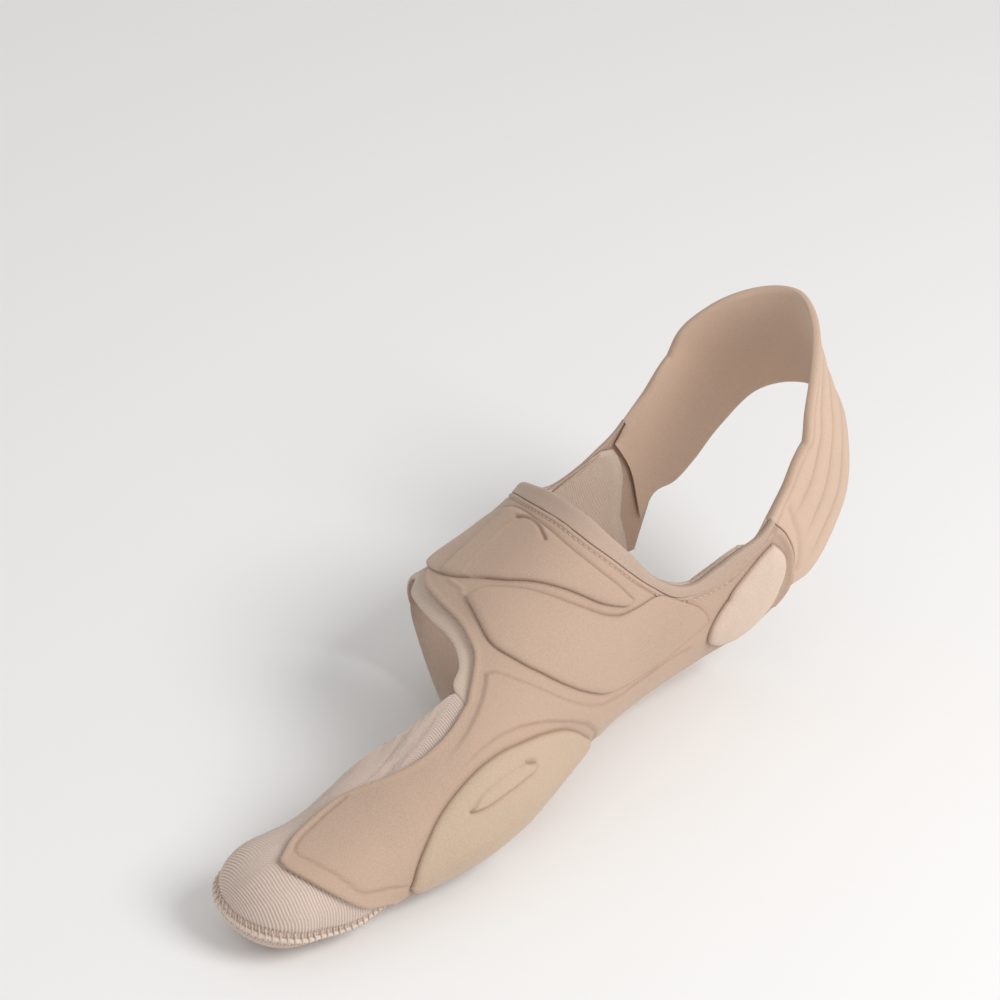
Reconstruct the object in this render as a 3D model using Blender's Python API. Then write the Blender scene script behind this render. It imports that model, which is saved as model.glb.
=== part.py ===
"""Bunion corrector for a right foot, in the form that it has when it is worn.

Metres. +X points to the heel, -X to the toes, -Y to the inner side of the foot and +Z up.
The origin is on the sole line, inside the sleeve, SEAT_FROM_HEEL in front of the back of the heel.

Every piece is cloth laid on one smooth form, the skin of the foot, which isn't built itself.
A place on the form is a station (0 at the ankle, 100 at the tip of the big toe) and a turn in
degrees about the form (0 outer side, 90 top, 180 inner side, 270 sole). A sheet is a net of such
places, lifted off the form by its layer and given its wall.
"""

import math

import bmesh
import bpy
import numpy as np

# Driving sizes of the foot that it fits
FOOT_LENGTH = 0.243       # back of the heel to the tip of the big toe
BALL_WIDTH = 0.080        # across the ball of the foot
INSTEP_HEIGHT = 0.080     # sole to the top of the instep
ANKLE_HEIGHT = 0.100      # sole to the bend of the ankle
SEAT_FROM_HEEL = 0.120    # where the origin lies along the sole

# Walls and clearances
KNIT_WALL = 0.0010        # base knit of the sleeve and the toe cap
PANEL_WALL = 0.0012       # moulded outer panel
HEM_WALL = 0.0017         # turned hem round the ankle
STRAP_WALL = 0.0020       # ribbed elastic strap
CUSHION_RISE = 0.0016     # height of the two moulded fields on the panel
BUNION_PAD_RISE = 0.0034  # height of the pad over the ball joint
HEEL_PAD_RISE = 0.0026    # height of the drop-shaped pad beside the heel
PAD_EDGE = 0.0007         # wall at the rim of every pad
SEAM_RADIUS = 0.0008      # overlock ridge round the toe cap
GAP = 0.0003              # between two edges that touch
PLY_GAP = 0.0005          # between two layers that lie on each other

# Fore sections: shares of FOOT_LENGTH, BALL_WIDTH and INSTEP_HEIGHT in percent, then the
# squareness of the four quarters (upper inner, upper outer, lower inner, lower outer)
#   station  mid   inner outer  centre up    down   ui   uo    li   lo
FORE_SECTIONS = np.array([
    (93.8,   33.0, 22.0, 17.0,  15.6, 14.4, 15.6,   2.3, 2.3,  2.4, 2.3),
    (88.9,   34.4, 23.1, 17.5,  15.6, 15.6, 15.6,   2.3, 2.3,  2.4, 2.3),
    (84.0,   32.5, 23.1, 18.1,  16.3, 17.5, 16.3,   2.3, 2.2,  2.4, 2.3),
    (78.2,   30.6, 25.0, 22.5,  18.1, 21.3, 18.1,   2.2, 2.1,  2.4, 2.2),
    (72.4,   25.0, 31.2, 37.5,  20.0, 27.5, 20.0,   2.1, 1.9,  2.4, 2.2),
    (65.8,   17.5, 36.2, 56.2,  22.5, 35.6, 22.5,   2.0, 1.8,  2.3, 2.2),
    (59.7,   12.5, 35.6, 63.8,  25.0, 42.5, 25.0,   2.0, 1.75, 2.2, 2.2),
    (53.5,   10.0, 32.5, 61.3,  27.5, 47.5, 26.9,   2.0, 1.75, 2.0, 2.2),
    (47.3,   7.5,  30.0, 56.3,  30.0, 54.4, 28.1,   2.0, 1.75, 1.9, 2.2),
    (41.2,   4.4,  29.4, 50.0,  32.5, 66.3, 30.6,   2.0, 1.8,  1.9, 2.2),
])
# Ankle sections fan about the bend of the ankle: tilt in degrees, breadths as shares of
# BALL_WIDTH, distances from the bend and rise above it as shares of ANKLE_HEIGHT, in percent
#   station tilt  mid  inner outer  rise centre front back    ui   uo   li   lo
ANKLE_SECTIONS = np.array([
    (34.6,  14.0, 2.5, 31.2, 45.0,  0.0, 68.0, 8.0, 101.0,   2.1, 2.0, 1.9, 2.2),
    (28.8,  28.0, 1.2, 35.0, 41.2,  0.0, 66.0, 6.0, 109.0,   2.2, 2.1, 2.0, 2.2),
    (23.0,  42.0, 0.0, 38.8, 38.8,  0.0, 68.0, 5.0, 120.0,   2.2, 2.2, 2.1, 2.2),
    (17.3,  56.0, 0.0, 37.5, 37.5,  0.0, 64.0, 4.0, 110.0,   2.1, 2.1, 2.1, 2.1),
    (11.5,  70.0, 0.0, 35.6, 35.6,  0.0, 56.0, 4.0, 93.0,    2.1, 2.1, 1.9, 1.9),
    (5.8,   80.0, 0.0, 34.4, 34.4,  0.0, 48.0, 5.0, 82.0,    2.1, 2.1, 1.8, 1.8),
    (0.0,   90.0, 0.0, 33.8, 33.8,  0.0, 44.0, 6.0, 76.0,    2.1, 2.1, 1.7, 1.7),
    (-8.0,  90.0, 0.0, 33.8, 33.8,  20.0, 43.0, 6.0, 74.0,   2.1, 2.1, 1.7, 1.7),
    (-16.0, 90.0, 0.0, 35.0, 35.0,  40.0, 43.0, 5.0, 75.0,   2.1, 2.1, 1.8, 1.8),
])
BEND_STATION = 39.5       # the bend of the ankle along the foot, share of FOOT_LENGTH
NOSE_STATION = 93.8       # where the round end of the toe begins
NOSE_POWER = 2.1
NOSE_DRIFT = 2.0          # sideways and downward drift of the nose, shares of BALL_WIDTH

# Edges on the form: station and turn, from the outer side over the top to the inner side
# Front edge of the sleeve where the small toes come out
#   station turn
SLEEVE_FRONT = [
    (54.3, 0), (56.0, 25), (58.0, 43), (60.5, 50), (61.9, 59), (63.0, 70), (63.6, 81),
    (64.4, 89), (65.5, 96),
]
TOE_JOINT = 67.5          # the cap and the sleeve meet here, under the panel
TOE_JOINT_TURNS = (101, 125, 150, 175, 195, 212)
SLEEVE_SOLE = [(66.0, 228), (62.5, 250), (59.0, 280), (56.0, 310), (54.5, 335)]

# Back edge of the toe cap, all the way round
#   turn station
CAP_BACK = [
    (0, 80.7), (25, 80.5), (45, 79.8), (59, 78.2), (74, 76.1), (85, 74.1), (92, 71.6),
    (98, 69.0), (102, TOE_JOINT), (120, TOE_JOINT), (160, TOE_JOINT), (200, TOE_JOINT),
    (212, TOE_JOINT), (228, 69.5), (250, 72.5), (280, 76.0), (310, 78.6), (335, 80.0),
]

# Hem round the ankle, inner half: its free edge and its sewn edge, from the top down
#   free edge    sewn edge
HEM_HALF = [
    (44.5, 90,   46.3, 90),
    (44.2, 104,  46.1, 104),
    (43.4, 120,  45.2, 119),
    (41.3, 138,  43.0, 137),
    (38.6, 154,  39.8, 153),
    (35.0, 166,  36.2, 167),
    (30.4, 170,  30.9, 174.5),
    (24.7, 172,  25.5, 176),
    (18.5, 172,  19.6, 175.5),
]
# Joint of the panel with the strap, and the free lower edge from there to the sole
STRAP_JOINT = [(18.9, 176.5), (20.8, 181), (22.9, 187), (24.6, 196)]
LOWER_BACK = [(27.4, 207), (29.6, 217)]
SOLE_BACK = [(31.8, 235), (32.8, 270)]
STRAP_LAP = 3.2           # how far the strap runs on under the panel, in stations
STRAP_LAP_LOW = 2.4       # the same along its lower edge
STRAP_LAP_TURNS = (1.5, 7.0)   # how far its two edges turn down on the way
KNIT_LAP_GAP = 0.5        # between the hidden ends of the strap and the sleeve, in stations

# Outer panel: toe strip along the inner side of the big toe, top edge and bottom edge
#   top edge     bottom edge
TOE_STRIP = [
    (94.6, 104,  83.5, 212),
    (92.6, 94,   81.8, 213),
    (88.4, 85,   79.5, 214),
    (83.5, 80,   77.0, 214.5),
    (79.0, 90,   74.5, 215),
    (74.5, 106,  72.0, 215),
    (70.8, 112,  69.5, 215),
    (67.4, 112.5, 67.4, 215),
]
TOE_STRIP_END = [(94.4, 112), (92.4, 134), (91.0, 152), (88.8, 176), (86.2, 196)]
# Front edge of the panel over the foot, from the toe strip to the outer side
PANEL_FRONT = [
    (65.0, 106.5), (63.4, 101), (62.5, 92), (61.7, 82), (61.0, 71), (59.7, 59), (57.8, 51),
    (54.7, 45), (51.5, 33), (49.0, 18), (47.5, 2), (46.0, -14), (43.5, -26),
]

# Raised pads and fields: the two edges, end to end
#   edge one     edge two
INSTEP_CUSHION = [
    (43.0, 149,  43.0, 149),
    (44.0, 143,  44.6, 147),
    (46.3, 125,  47.8, 135),
    (47.7, 104,  51.0, 116),
    (47.6, 83,   53.6, 98),
    (46.6, 63,   56.0, 81),
    (46.2, 46,   57.6, 66),
    (47.4, 34,   57.0, 51),
    (50.4, 31,   54.6, 38),
    (52.4, 33,   52.4, 33),
]
SIDE_CUSHION = [
    (59.2, 79,   59.2, 79),
    (57.0, 84,   60.5, 92),
    (54.8, 98,   61.3, 107),
    (52.2, 117,  60.0, 124),
    (50.2, 129,  58.3, 136),
    (47.9, 140,  56.1, 148),
    (45.5, 148,  53.2, 160),
    (42.6, 153,  49.6, 171),
    (39.2, 158,  45.6, 177),
    (36.4, 168,  41.6, 180),
    (34.2, 177,  37.6, 184),
    (33.8, 184,  33.8, 184),
]
BUNION_PAD = [
    (81.9, 190,  81.9, 190),
    (80.8, 172,  81.0, 203),
    (79.2, 159,  78.6, 211),
    (77.2, 149,  75.4, 216),
    (74.6, 143,  72.0, 218),
    (71.2, 141,  68.4, 218.5),
    (67.6, 144,  64.8, 218),
    (64.4, 150,  61.6, 216),
    (60.8, 158,  58.4, 213),
    (57.0, 168,  55.4, 208),
    (53.8, 181,  53.0, 202),
    (52.2, 194,  52.2, 194),
]
HEEL_PAD = [
    (24.0, 175.5, 24.0, 175.5),
    (25.9, 178,   23.8, 181),
    (27.6, 180,   25.0, 188),
    (29.6, 182,   26.2, 197),
    (31.6, 185,   27.5, 205),
    (33.0, 192,   29.0, 211),
    (33.3, 201,   30.8, 213),
    (32.6, 208,   32.6, 208),
]
# Strap, from its hidden start under the panel to the middle of the back of the leg
#   upper edge   lower edge
STRAP_HALF = [
    (18.5, 172,  24.6, 197),
    (15.8, 174,  22.6, 200),
    (12.3, 178,  20.6, 203),
    (8.2, 188,   18.1, 208),
    (3.3, 203,   15.6, 217),
    (-0.8, 222,  13.2, 230),
    (-3.3, 246,  11.2, 250),
    (-4.1, 270,  10.3, 270),
]
SEAM_TURNS = (188, 352)   # seam of the toe cap, inner and outer side
SEAM_BACK = (89.5, 84.0)  # stations where it starts and ends
CAP_TIP = 99.6            # station of the last ring of the cap, closed by a point
WHOLE_TURN = 360          # degrees of turn once round the form
BOTTOM = 270              # turn of the sole line and of the back of the leg

# How finely each piece is faceted
SLEEVE_STEPS = (12, 4, 10, 10, 4, 12)
SLEEVE_TURNS = (89, 166, 196, BOTTOM, 345)   # where the front edge is cut into these stretches
SLEEVE_LAST = 10          # turn where the stretch round the outer side ends
SLEEVE_ROWS = 10
CAP_COLUMNS = 28
CAP_ROWS = (0, 0.1, 0.2, 0.3, 0.4, 0.5, 0.6, 0.7, 0.79, 0.86, 0.92, 0.96, 0.99, 1)
SEAM_SIDES = 6
SEAM_POINTS = 12
JOINT_STEPS = (6, 5)
OUTER_STEPS = (3, 3)
HEM_PER_ROW = 2
PANEL_ROWS = 10
PAD_COLUMNS = 6
PAD_DOME = 2.6            # how flat the crown of a pad is across
PAD_DOME_LONG = 6.0       # and along
STRAP_COLUMNS = 5
STRAP_PER_ROW = 2         # rows of the strap for each row of its table

# Colours and roughness
KNIT = ("knit", (0.64, 0.50, 0.43), 0.9)
MICROFIBRE = ("microfibre", (0.60, 0.45, 0.37), 0.85)
PAD_CLOTH = ("pad_cloth", (0.62, 0.49, 0.36), 0.8)
ELASTIC = ("elastic", (0.58, 0.43, 0.35), 0.85)


def smooth(table, at):
    """Catmull-Rom curve through the rows of table at the row numbers at."""
    table = np.asarray(table, float)
    slope = np.gradient(table, axis=0)
    row = np.clip(np.floor(at).astype(int), 0, len(table) - 2)
    t = (at - row)[:, None]
    ends = table[row] * (1 + 2 * t) * (1 - t) ** 2 + table[row + 1] * t * t * (3 - 2 * t)
    return ends + slope[row] * t * (1 - t) ** 2 + slope[row + 1] * t * t * (t - 1)


def curve(table, per_row):
    """Points on the smooth curve through table, per_row for each of its steps."""
    return smooth(table, np.linspace(0, len(table) - 1, per_row * (len(table) - 1) + 1))


def form_sections():
    """All sections as rows: station, x, centre, tilt, mid, inner, outer, up, down, quarters."""
    rows = []
    for station, mid, inner, outer, centre, up, down, *quarters in FORE_SECTIONS / 100:
        rows.append([station * 100, station * FOOT_LENGTH, centre * INSTEP_HEIGHT, 0.0,
                     mid * BALL_WIDTH, inner * BALL_WIDTH, outer * BALL_WIDTH,
                     up * INSTEP_HEIGHT, down * INSTEP_HEIGHT] + [q * 100 for q in quarters])
    for station, tilt, mid, inner, outer, rise, centre, front, back, *quarters in ANKLE_SECTIONS:
        lean = math.radians(tilt)
        reach = centre / 100 * ANKLE_HEIGHT
        rows.append([station, BEND_STATION / 100 * FOOT_LENGTH - reach * math.sin(lean),
                     (1 + rise / 100) * ANKLE_HEIGHT - reach * math.cos(lean), lean,
                     mid / 100 * BALL_WIDTH, inner / 100 * BALL_WIDTH, outer / 100 * BALL_WIDTH,
                     (centre - front) / 100 * ANKLE_HEIGHT,
                     (back - centre) / 100 * ANKLE_HEIGHT] + quarters)
    return np.array(rows)


SECTIONS = form_sections()


def section_at(station):
    """The form's section at each station, on a smooth curve through SECTIONS."""
    keys = -SECTIONS[:, 0]
    values = SECTIONS[:, 1:]
    slope = np.gradient(values, keys, axis=0)
    key = -np.minimum(station, NOSE_STATION)
    low = np.clip(np.searchsorted(keys, key) - 1, 0, len(keys) - 2)
    span = (keys[low + 1] - keys[low])[:, None]
    t = ((key - keys[low])[:, None]) / span
    ends = values[low] * (1 + 2 * t) * (1 - t) ** 2 + values[low + 1] * t * t * (3 - 2 * t)
    return ends + span * (slope[low] * t * (1 - t) ** 2 + slope[low + 1] * t * t * (t - 1))


def skin(station, turn):
    """Places on the form, as rows x, y, z."""
    x, centre, lean, mid, inner, outer, up, down, ui, uo, li, lo = section_at(station).T
    across = np.cos(np.radians(turn))
    over = np.sin(np.radians(turn))
    power = np.where(over >= 0, np.where(across < 0, ui, uo), np.where(across < 0, li, lo))
    nose = np.clip((station - NOSE_STATION) / (100 - NOSE_STATION), 0, 1)
    shrink = (1 - nose ** NOSE_POWER) ** (1 / NOSE_POWER)
    side = np.sign(across) * np.abs(across) ** (2 / power) * np.where(across < 0, inner, outer)
    rise = np.sign(over) * np.abs(over) ** (2 / power) * np.where(over > 0, up, down)
    drift = nose * NOSE_DRIFT / 100 * BALL_WIDTH
    ahead = np.where(station > NOSE_STATION, station / 100 * FOOT_LENGTH, x)
    ahead = ahead + np.sin(lean) * rise * shrink
    inward = mid - drift - side * shrink
    height = centre - drift + np.cos(lean) * rise * shrink
    return np.stack([SEAT_FROM_HEEL - ahead, -inward, height], -1)


def outward(station, turn):
    """Unit normals of the form, pointing out of the foot."""
    station = np.minimum(station, 99.7)
    along = skin(station + 0.2, turn) - skin(station - 0.2, turn)
    around = skin(station, turn + 1.0) - skin(station, turn - 1.0)
    normal = np.cross(along, around)
    return normal / np.linalg.norm(normal, axis=1)[:, None]


def lifted(spots, lift):
    """The places of a net of spots (station, turn), lifted off the form."""
    spots = np.asarray(spots, float)
    lift = np.broadcast_to(lift, len(spots))
    return skin(spots[:, 0], spots[:, 1]) + outward(spots[:, 0], spots[:, 1]) * lift[:, None]


def metres_per_step(spots):
    """How many metres one station and one degree of turn are at each spot."""
    station, turn = spots[:, 0], spots[:, 1]
    along = np.linalg.norm(skin(station + 0.5, turn) - skin(station - 0.5, turn), axis=1)
    around = np.linalg.norm(skin(station, turn + 0.5) - skin(station, turn - 0.5), axis=1)
    return np.stack([along, around], -1)


def pushed(spots, beyond, distance):
    """Spots moved by distance in the direction in which spots beyond them lie."""
    step = beyond - spots
    length = np.linalg.norm(step * metres_per_step(spots), axis=1)
    return spots + step * (distance / length)[:, None]


def between(first, last, steps):
    """Rows of spots from the edge first to the edge last, in equal steps."""
    share = np.linspace(0, 1, steps + 1)[:, None, None]
    return (1 - share) * first + share * last


class Net:
    """Spots on the form joined by faces, which thicken turns into one closed solid."""

    def __init__(self):
        self.spots = []
        self.faces = []
        self.known = {}

    def number(self, spot):
        key = (round(spot[0], 5), round(spot[1] % 360, 4) % 360)
        if key not in self.known:
            self.known[key] = len(self.spots)
            self.spots.append(tuple(spot))
        return self.known[key]

    def add(self, rows, closed=False):
        """Faces between the rows of a grid of spots, closed where its columns meet."""
        numbers = [[self.number(spot) for spot in row] for row in rows]
        columns = len(numbers[0])
        for low, high in zip(numbers, numbers[1:]):
            for i in range(columns if closed else columns - 1):
                j = (i + 1) % columns
                corners = list(dict.fromkeys([low[i], low[j], high[j], high[i]]))
                if len(corners) > 2:
                    self.faces.append(corners)
        return numbers

    def thicken(self, name, cloth, inner, outer, tip=None):
        """One solid between the layers inner and outer; tip is a ring closed by a point."""
        spots = np.array(self.spots)
        low = list(lifted(spots, inner))
        high = list(lifted(spots, outer))
        faces = list(self.faces)
        if tip:
            low.append(np.mean([low[i] for i in tip], 0))
            high.append(np.mean([high[i] for i in tip], 0))
            faces += [[i, j, len(spots)] for i, j in zip(tip, tip[1:] + tip[:1])]
        count = len(low)
        sides = {}
        for face in faces:
            for i, j in zip(face, face[1:] + face[:1]):
                if sides.pop((j, i), None) is None:
                    sides[(i, j)] = True
        solid = [list(face) for face in faces]
        solid += [[count + i for i in reversed(face)] for face in faces]
        solid += [[j, i, count + i, count + j] for i, j in sides]
        return add_object(name, cloth, high + low, solid)


def cloth_material(cloth):
    """The material of a cloth, made once."""
    name, colour, roughness = cloth
    material = bpy.data.materials.get(name)
    if material is None:
        material = bpy.data.materials.new(name)
        material.use_nodes = True
        shader = material.node_tree.nodes["Principled BSDF"]
        shader.inputs["Base Color"].default_value = (*colour, 1.0)
        shader.inputs["Roughness"].default_value = roughness
        shader.inputs["Metallic"].default_value = 0.0
    return material


def add_object(name, cloth, places, faces):
    """A named object from places and faces, its faces pointing out."""
    mesh = bpy.data.meshes.new(name)
    mesh.from_pydata([tuple(place) for place in places], [], faces)
    solid = bmesh.new()
    solid.from_mesh(mesh)
    bmesh.ops.recalc_face_normals(solid, faces=solid.faces)
    bmesh.ops.triangulate(solid, faces=solid.faces)
    solid.to_mesh(mesh)
    solid.free()
    mesh.shade_smooth()
    mesh.set_sharp_from_angle(angle=math.radians(40))
    mesh.materials.append(cloth_material(cloth))
    item = bpy.data.objects.new(name, mesh)
    bpy.context.collection.objects.link(item)
    return item


def mirrored(rows):
    """Edge rows of the outer side, from those of the inner side: stations kept, turns mirrored."""
    rows = np.array(rows, float)
    rows[:, 1::2] = 180 - rows[:, 1::2]
    return rows


def strap_rows():
    """Upper and lower edge of the whole strap, from the inner joint to the outer joint."""
    half = np.array(STRAP_HALF, float)
    upper_turn, lower_turn = STRAP_LAP_TURNS
    start = half[0] + [STRAP_LAP, upper_turn, STRAP_LAP_LOW, lower_turn]
    half = np.vstack([start, half])
    back = half[-2::-1].copy()
    back[:, 1::2] = 2 * BOTTOM - back[:, 1::2]
    return np.vstack([half, back])


def hem_rows():
    """Free and sewn edge of the whole hem, from the outer joint over the top to the inner one."""
    half = np.array(HEM_HALF, float)
    return np.vstack([mirrored(half)[:0:-1], half])


def evenly(edge, steps):
    """Spots in equal lengths along an edge, steps + 1 of them with both ends."""
    edge = np.asarray(edge, float)
    length = np.linalg.norm(np.diff(lifted(edge, 0.0), axis=0), axis=1)
    reach = np.append(0, np.cumsum(length))
    share = np.linspace(0, reach[-1], steps + 1)
    return np.stack([np.interp(share, reach, edge[:, 0]), np.interp(share, reach, edge[:, 1])], -1)


def joined(edges, steps, closed=False):
    """The edges one after another, each in its own number of equal steps."""
    spots = [evenly(edge, count)[:-1] for edge, count in zip(edges, steps)]
    if not closed:
        spots.append(np.asarray(edges[-1], float)[-1:])
    return np.vstack(spots)


def stretch(edge, low, high):
    """The part of a sampled edge whose turns lie between low and high."""
    edge = np.asarray(edge, float)
    return edge[(edge[:, 1] >= low) & (edge[:, 1] <= high)]


def other_side(edge):
    """An edge of the inner side mirrored to the outer side and run the other way."""
    edge = np.asarray(edge, float)[::-1].copy()
    edge[:, 1] = 180 - edge[:, 1]
    return edge


def inner_sleeve():
    """Base knit round the middle of the foot, open for the small toes, the heel and the ankle."""
    joint = smooth(STRAP_JOINT, np.linspace(0, 3, 7)) + [STRAP_LAP + KNIT_LAP_GAP, 0.0]
    free = curve(HEM_HALF, 3)[:, :2]
    free = np.vstack([free[free[:, 0] > joint[0, 0] + 1], joint[:1]])
    lower = np.vstack([joint[-1:], curve(LOWER_BACK + SOLE_BACK, 3)])
    wrap = np.array([0, WHOLE_TURN])
    back = joined([free, joint, lower, other_side(lower) + wrap, other_side(joint) + wrap,
                   other_side(free) + wrap], SLEEVE_STEPS, closed=True)
    front = curve(SLEEVE_FRONT + [(TOE_JOINT, turn) for turn in TOE_JOINT_TURNS], 3)
    sole = curve([(TOE_JOINT, TOE_JOINT_TURNS[-1])] + SLEEVE_SOLE
                 + [(SLEEVE_FRONT[0][0], WHOLE_TURN)], 3)
    loop = np.vstack([front[:-1], sole])
    parts = [stretch(loop, low, high) for low, high in zip(SLEEVE_TURNS, SLEEVE_TURNS[1:])]
    parts.append(np.vstack([stretch(loop, SLEEVE_TURNS[-1], WHOLE_TURN),
                            stretch(loop, 0.1, SLEEVE_LAST) + wrap]))
    parts.append(stretch(loop, SLEEVE_LAST, SLEEVE_TURNS[0]) + wrap)
    for before, after in zip(parts, parts[1:]):
        before[-1] = after[0]
    parts[-1][-1] = parts[0][0] + wrap
    front = joined(parts, SLEEVE_STEPS, closed=True)
    front = pushed(front, back, GAP)
    net = Net()
    net.add(between(front, back, SLEEVE_ROWS), closed=True)
    return net.thicken("inner_sleeve", KNIT, 0.0, KNIT_WALL)


def toe_cap():
    """Ribbed knit cap, closed over the tip of the big toe."""
    turns = np.arange(0, WHOLE_TURN, WHOLE_TURN / CAP_COLUMNS)
    around = np.array(CAP_BACK + [(WHOLE_TURN, CAP_BACK[0][1])], float)
    back = np.stack([np.interp(turns, around[:, 0], around[:, 1]), turns], -1)
    rows = []
    for share in CAP_ROWS:
        row = back.copy()
        row[:, 0] += share * (CAP_TIP - row[:, 0])
        rows.append(row)
    net = Net()
    numbers = net.add(rows, closed=True)
    return net.thicken("toe_cap", KNIT, 0.0, KNIT_WALL, tip=numbers[-1])


def seam_line():
    """Spots of the seam from the inner side over the tip to the outer side, closer at the tip."""
    reach = np.linspace(1, 0.08, SEAM_POINTS)
    sides = []
    for turn, back in zip(SEAM_TURNS, SEAM_BACK):
        sides.append(np.stack([100 - (100 - back) * reach ** 2, np.full(SEAM_POINTS, turn)], -1))
    return np.vstack([sides[0], sides[1][::-1]])


def toe_seam():
    """Overlock ridge along the toe cap's lower front, from the inner to the outer side."""
    spots = seam_line()
    line = lifted(spots, KNIT_WALL + PLY_GAP + SEAM_RADIUS)
    ahead = np.gradient(line, axis=0)
    ahead /= np.linalg.norm(ahead, axis=1)[:, None]
    out = outward(spots[:, 0], spots[:, 1])
    side = np.cross(ahead, out)
    side /= np.linalg.norm(side, axis=1)[:, None]
    out = np.cross(side, ahead)
    corners = np.radians(np.arange(0, WHOLE_TURN, WHOLE_TURN / SEAM_SIDES))
    places = [point + SEAM_RADIUS * (math.cos(a) * o + math.sin(a) * s)
              for point, o, s in zip(line, out, side) for a in corners]
    faces = []
    for row in range(len(line) - 1):
        for i in range(SEAM_SIDES):
            j = (i + 1) % SEAM_SIDES
            low = row * SEAM_SIDES
            faces.append([low + i, low + j, low + SEAM_SIDES + j, low + SEAM_SIDES + i])
    faces.append(list(range(SEAM_SIDES)))
    faces.append([len(places) - 1 - i for i in range(SEAM_SIDES)])
    return add_object("toe_seam", KNIT, places, faces)


def outer_panel():
    """Moulded panel from the big toe over the inner side and the instep to the strap."""
    low_layer = KNIT_WALL + PLY_GAP
    hem = curve(HEM_HALF, HEM_PER_ROW)
    sewn = pushed(hem[:, 2:], 2 * hem[:, 2:] - hem[:, :2], GAP)
    joint = np.array(STRAP_JOINT, float)[::-1]
    lower = np.vstack([curve(LOWER_BACK[::-1], 3), joint[:1]])
    outer_hem = mirrored(sewn)[1:]
    outer_end = joined([other_side(joint), other_side(lower)], OUTER_STEPS)
    back = np.vstack([joined([lower, joint], JOINT_STEPS)[:-1], sewn[::-1], outer_hem, outer_end])
    neck_top = TOE_STRIP[-1][1]
    neck_low = TOE_STRIP[-1][3]
    neck = [(TOE_STRIP[-1][0], turn) for turn in (neck_low, 190, 168, 140, neck_top)]
    over = curve([neck[-1]] + PANEL_FRONT, 3)
    rise = np.vstack([neck[2:4], stretch(over, 92, 120)])
    fall = over[over[:, 1] <= 92]
    fall = np.vstack([rise[-1:], fall])
    front = joined([neck[:2], neck[1:3], rise, fall],
                   (*JOINT_STEPS, len(sewn) - 1, len(outer_hem) + len(outer_end)))
    corner = int(np.argmin(np.linalg.norm((front - neck[-1]) * [1, 0.3], axis=1)))
    front[corner] = neck[-1]
    net = Net()
    net.add(between(front, back, PANEL_ROWS))
    share = (neck_low - front[:corner + 1, 1]) / (neck_low - neck_top)
    strip = curve(TOE_STRIP, 2)
    rows = []
    for top_station, top_turn, low_station, low_turn in strip:
        rows.append(np.stack([low_station + share * (top_station - low_station),
                              low_turn + share * (top_turn - low_turn)], -1))
    end = curve([tuple(strip[0, :2])] + TOE_STRIP_END + [tuple(strip[0, 2:])], 4)[::-1]
    end_share = np.linspace(0, 1, len(end))
    rows[0] = np.stack([np.interp(share, end_share, end[:, 0]),
                        np.interp(share, end_share, end[:, 1])], -1)
    rows[-1] = front[:corner + 1]
    net.add(rows)
    return net.thicken("outer_panel", MICROFIBRE, low_layer, low_layer + PANEL_WALL)


def ankle_hem():
    """Turned hem along the free edge of the ankle opening."""
    rows = curve(hem_rows(), HEM_PER_ROW)
    net = Net()
    net.add(between(rows[:, :2], rows[:, 2:], 2))
    low = KNIT_WALL + PLY_GAP
    return net.thicken("ankle_hem", MICROFIBRE, low, low + HEM_WALL)


def pad(name, cloth, table, rise, across=PAD_COLUMNS, per_row=2):
    """A cushion on the panel between two edges, domed from its rim to its crown."""
    rows = curve(table, per_row)
    net = Net()
    net.add(between(rows[:, :2], rows[:, 2:], across))
    spots = np.array(net.spots)
    crown = np.zeros(len(spots))
    share = np.linspace(0, 1, across + 1)
    for column, over in zip(between(rows[:, :2], rows[:, 2:], across), share):
        for row, spot in enumerate(column):
            along = row / (len(rows) - 1)
            width = 1 - abs(2 * over - 1) ** PAD_DOME
            length = 1 - abs(2 * along - 1) ** PAD_DOME_LONG
            crown[net.number(spot)] = min(width, length) if 0 < row < len(rows) - 1 else 0
    base = KNIT_WALL + PLY_GAP + PANEL_WALL + PLY_GAP
    return net.thicken(name, cloth, base, base + PAD_EDGE + crown * (rise - PAD_EDGE))


def heel_strap():
    """Ribbed elastic strap round the back of the leg, tucked under the panel at both ends."""
    rows = curve(strap_rows(), STRAP_PER_ROW)
    grid = between(rows[:, :2], rows[:, 2:], STRAP_COLUMNS)
    net = Net()
    net.add(grid)
    wall = np.full(len(net.spots), STRAP_WALL)
    for column in grid:
        for spot in list(column[:STRAP_PER_ROW + 2]) + list(column[-STRAP_PER_ROW - 2:]):
            wall[net.number(spot)] = KNIT_WALL
    return net.thicken("heel_strap", ELASTIC, 0.0, wall)


def clear_scene():
    """Remove what a new file starts with."""
    for item in list(bpy.data.objects):
        bpy.data.objects.remove(item, do_unlink=True)


def main():
    clear_scene()
    inner_sleeve()
    toe_cap()
    toe_seam()
    outer_panel()
    ankle_hem()
    heel_strap()
    pad("instep_cushion", MICROFIBRE, INSTEP_CUSHION, CUSHION_RISE)
    pad("side_cushion", MICROFIBRE, SIDE_CUSHION, CUSHION_RISE)
    pad("bunion_pad", PAD_CLOTH, BUNION_PAD, BUNION_PAD_RISE)
    pad("heel_pad", PAD_CLOTH, HEEL_PAD, HEEL_PAD_RISE)


main()
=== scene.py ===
"""Looks of the bunion corrector: fine cloth, cushions, ribs and stitches on the form of the foot.

Metres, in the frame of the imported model: +X to the heel, -X to the toes, -Y to the inner side of
the foot, +Z up. A place on the form is a station (0 at the ankle, 100 at the tip of the big toe)
and a turn in degrees (0 outer side, 90 top, 180 inner side, 270 sole). Every cloth is a fine net
of such places, lifted off the form by its layer, its moulded relief and its rounded edge.
"""

import math

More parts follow.
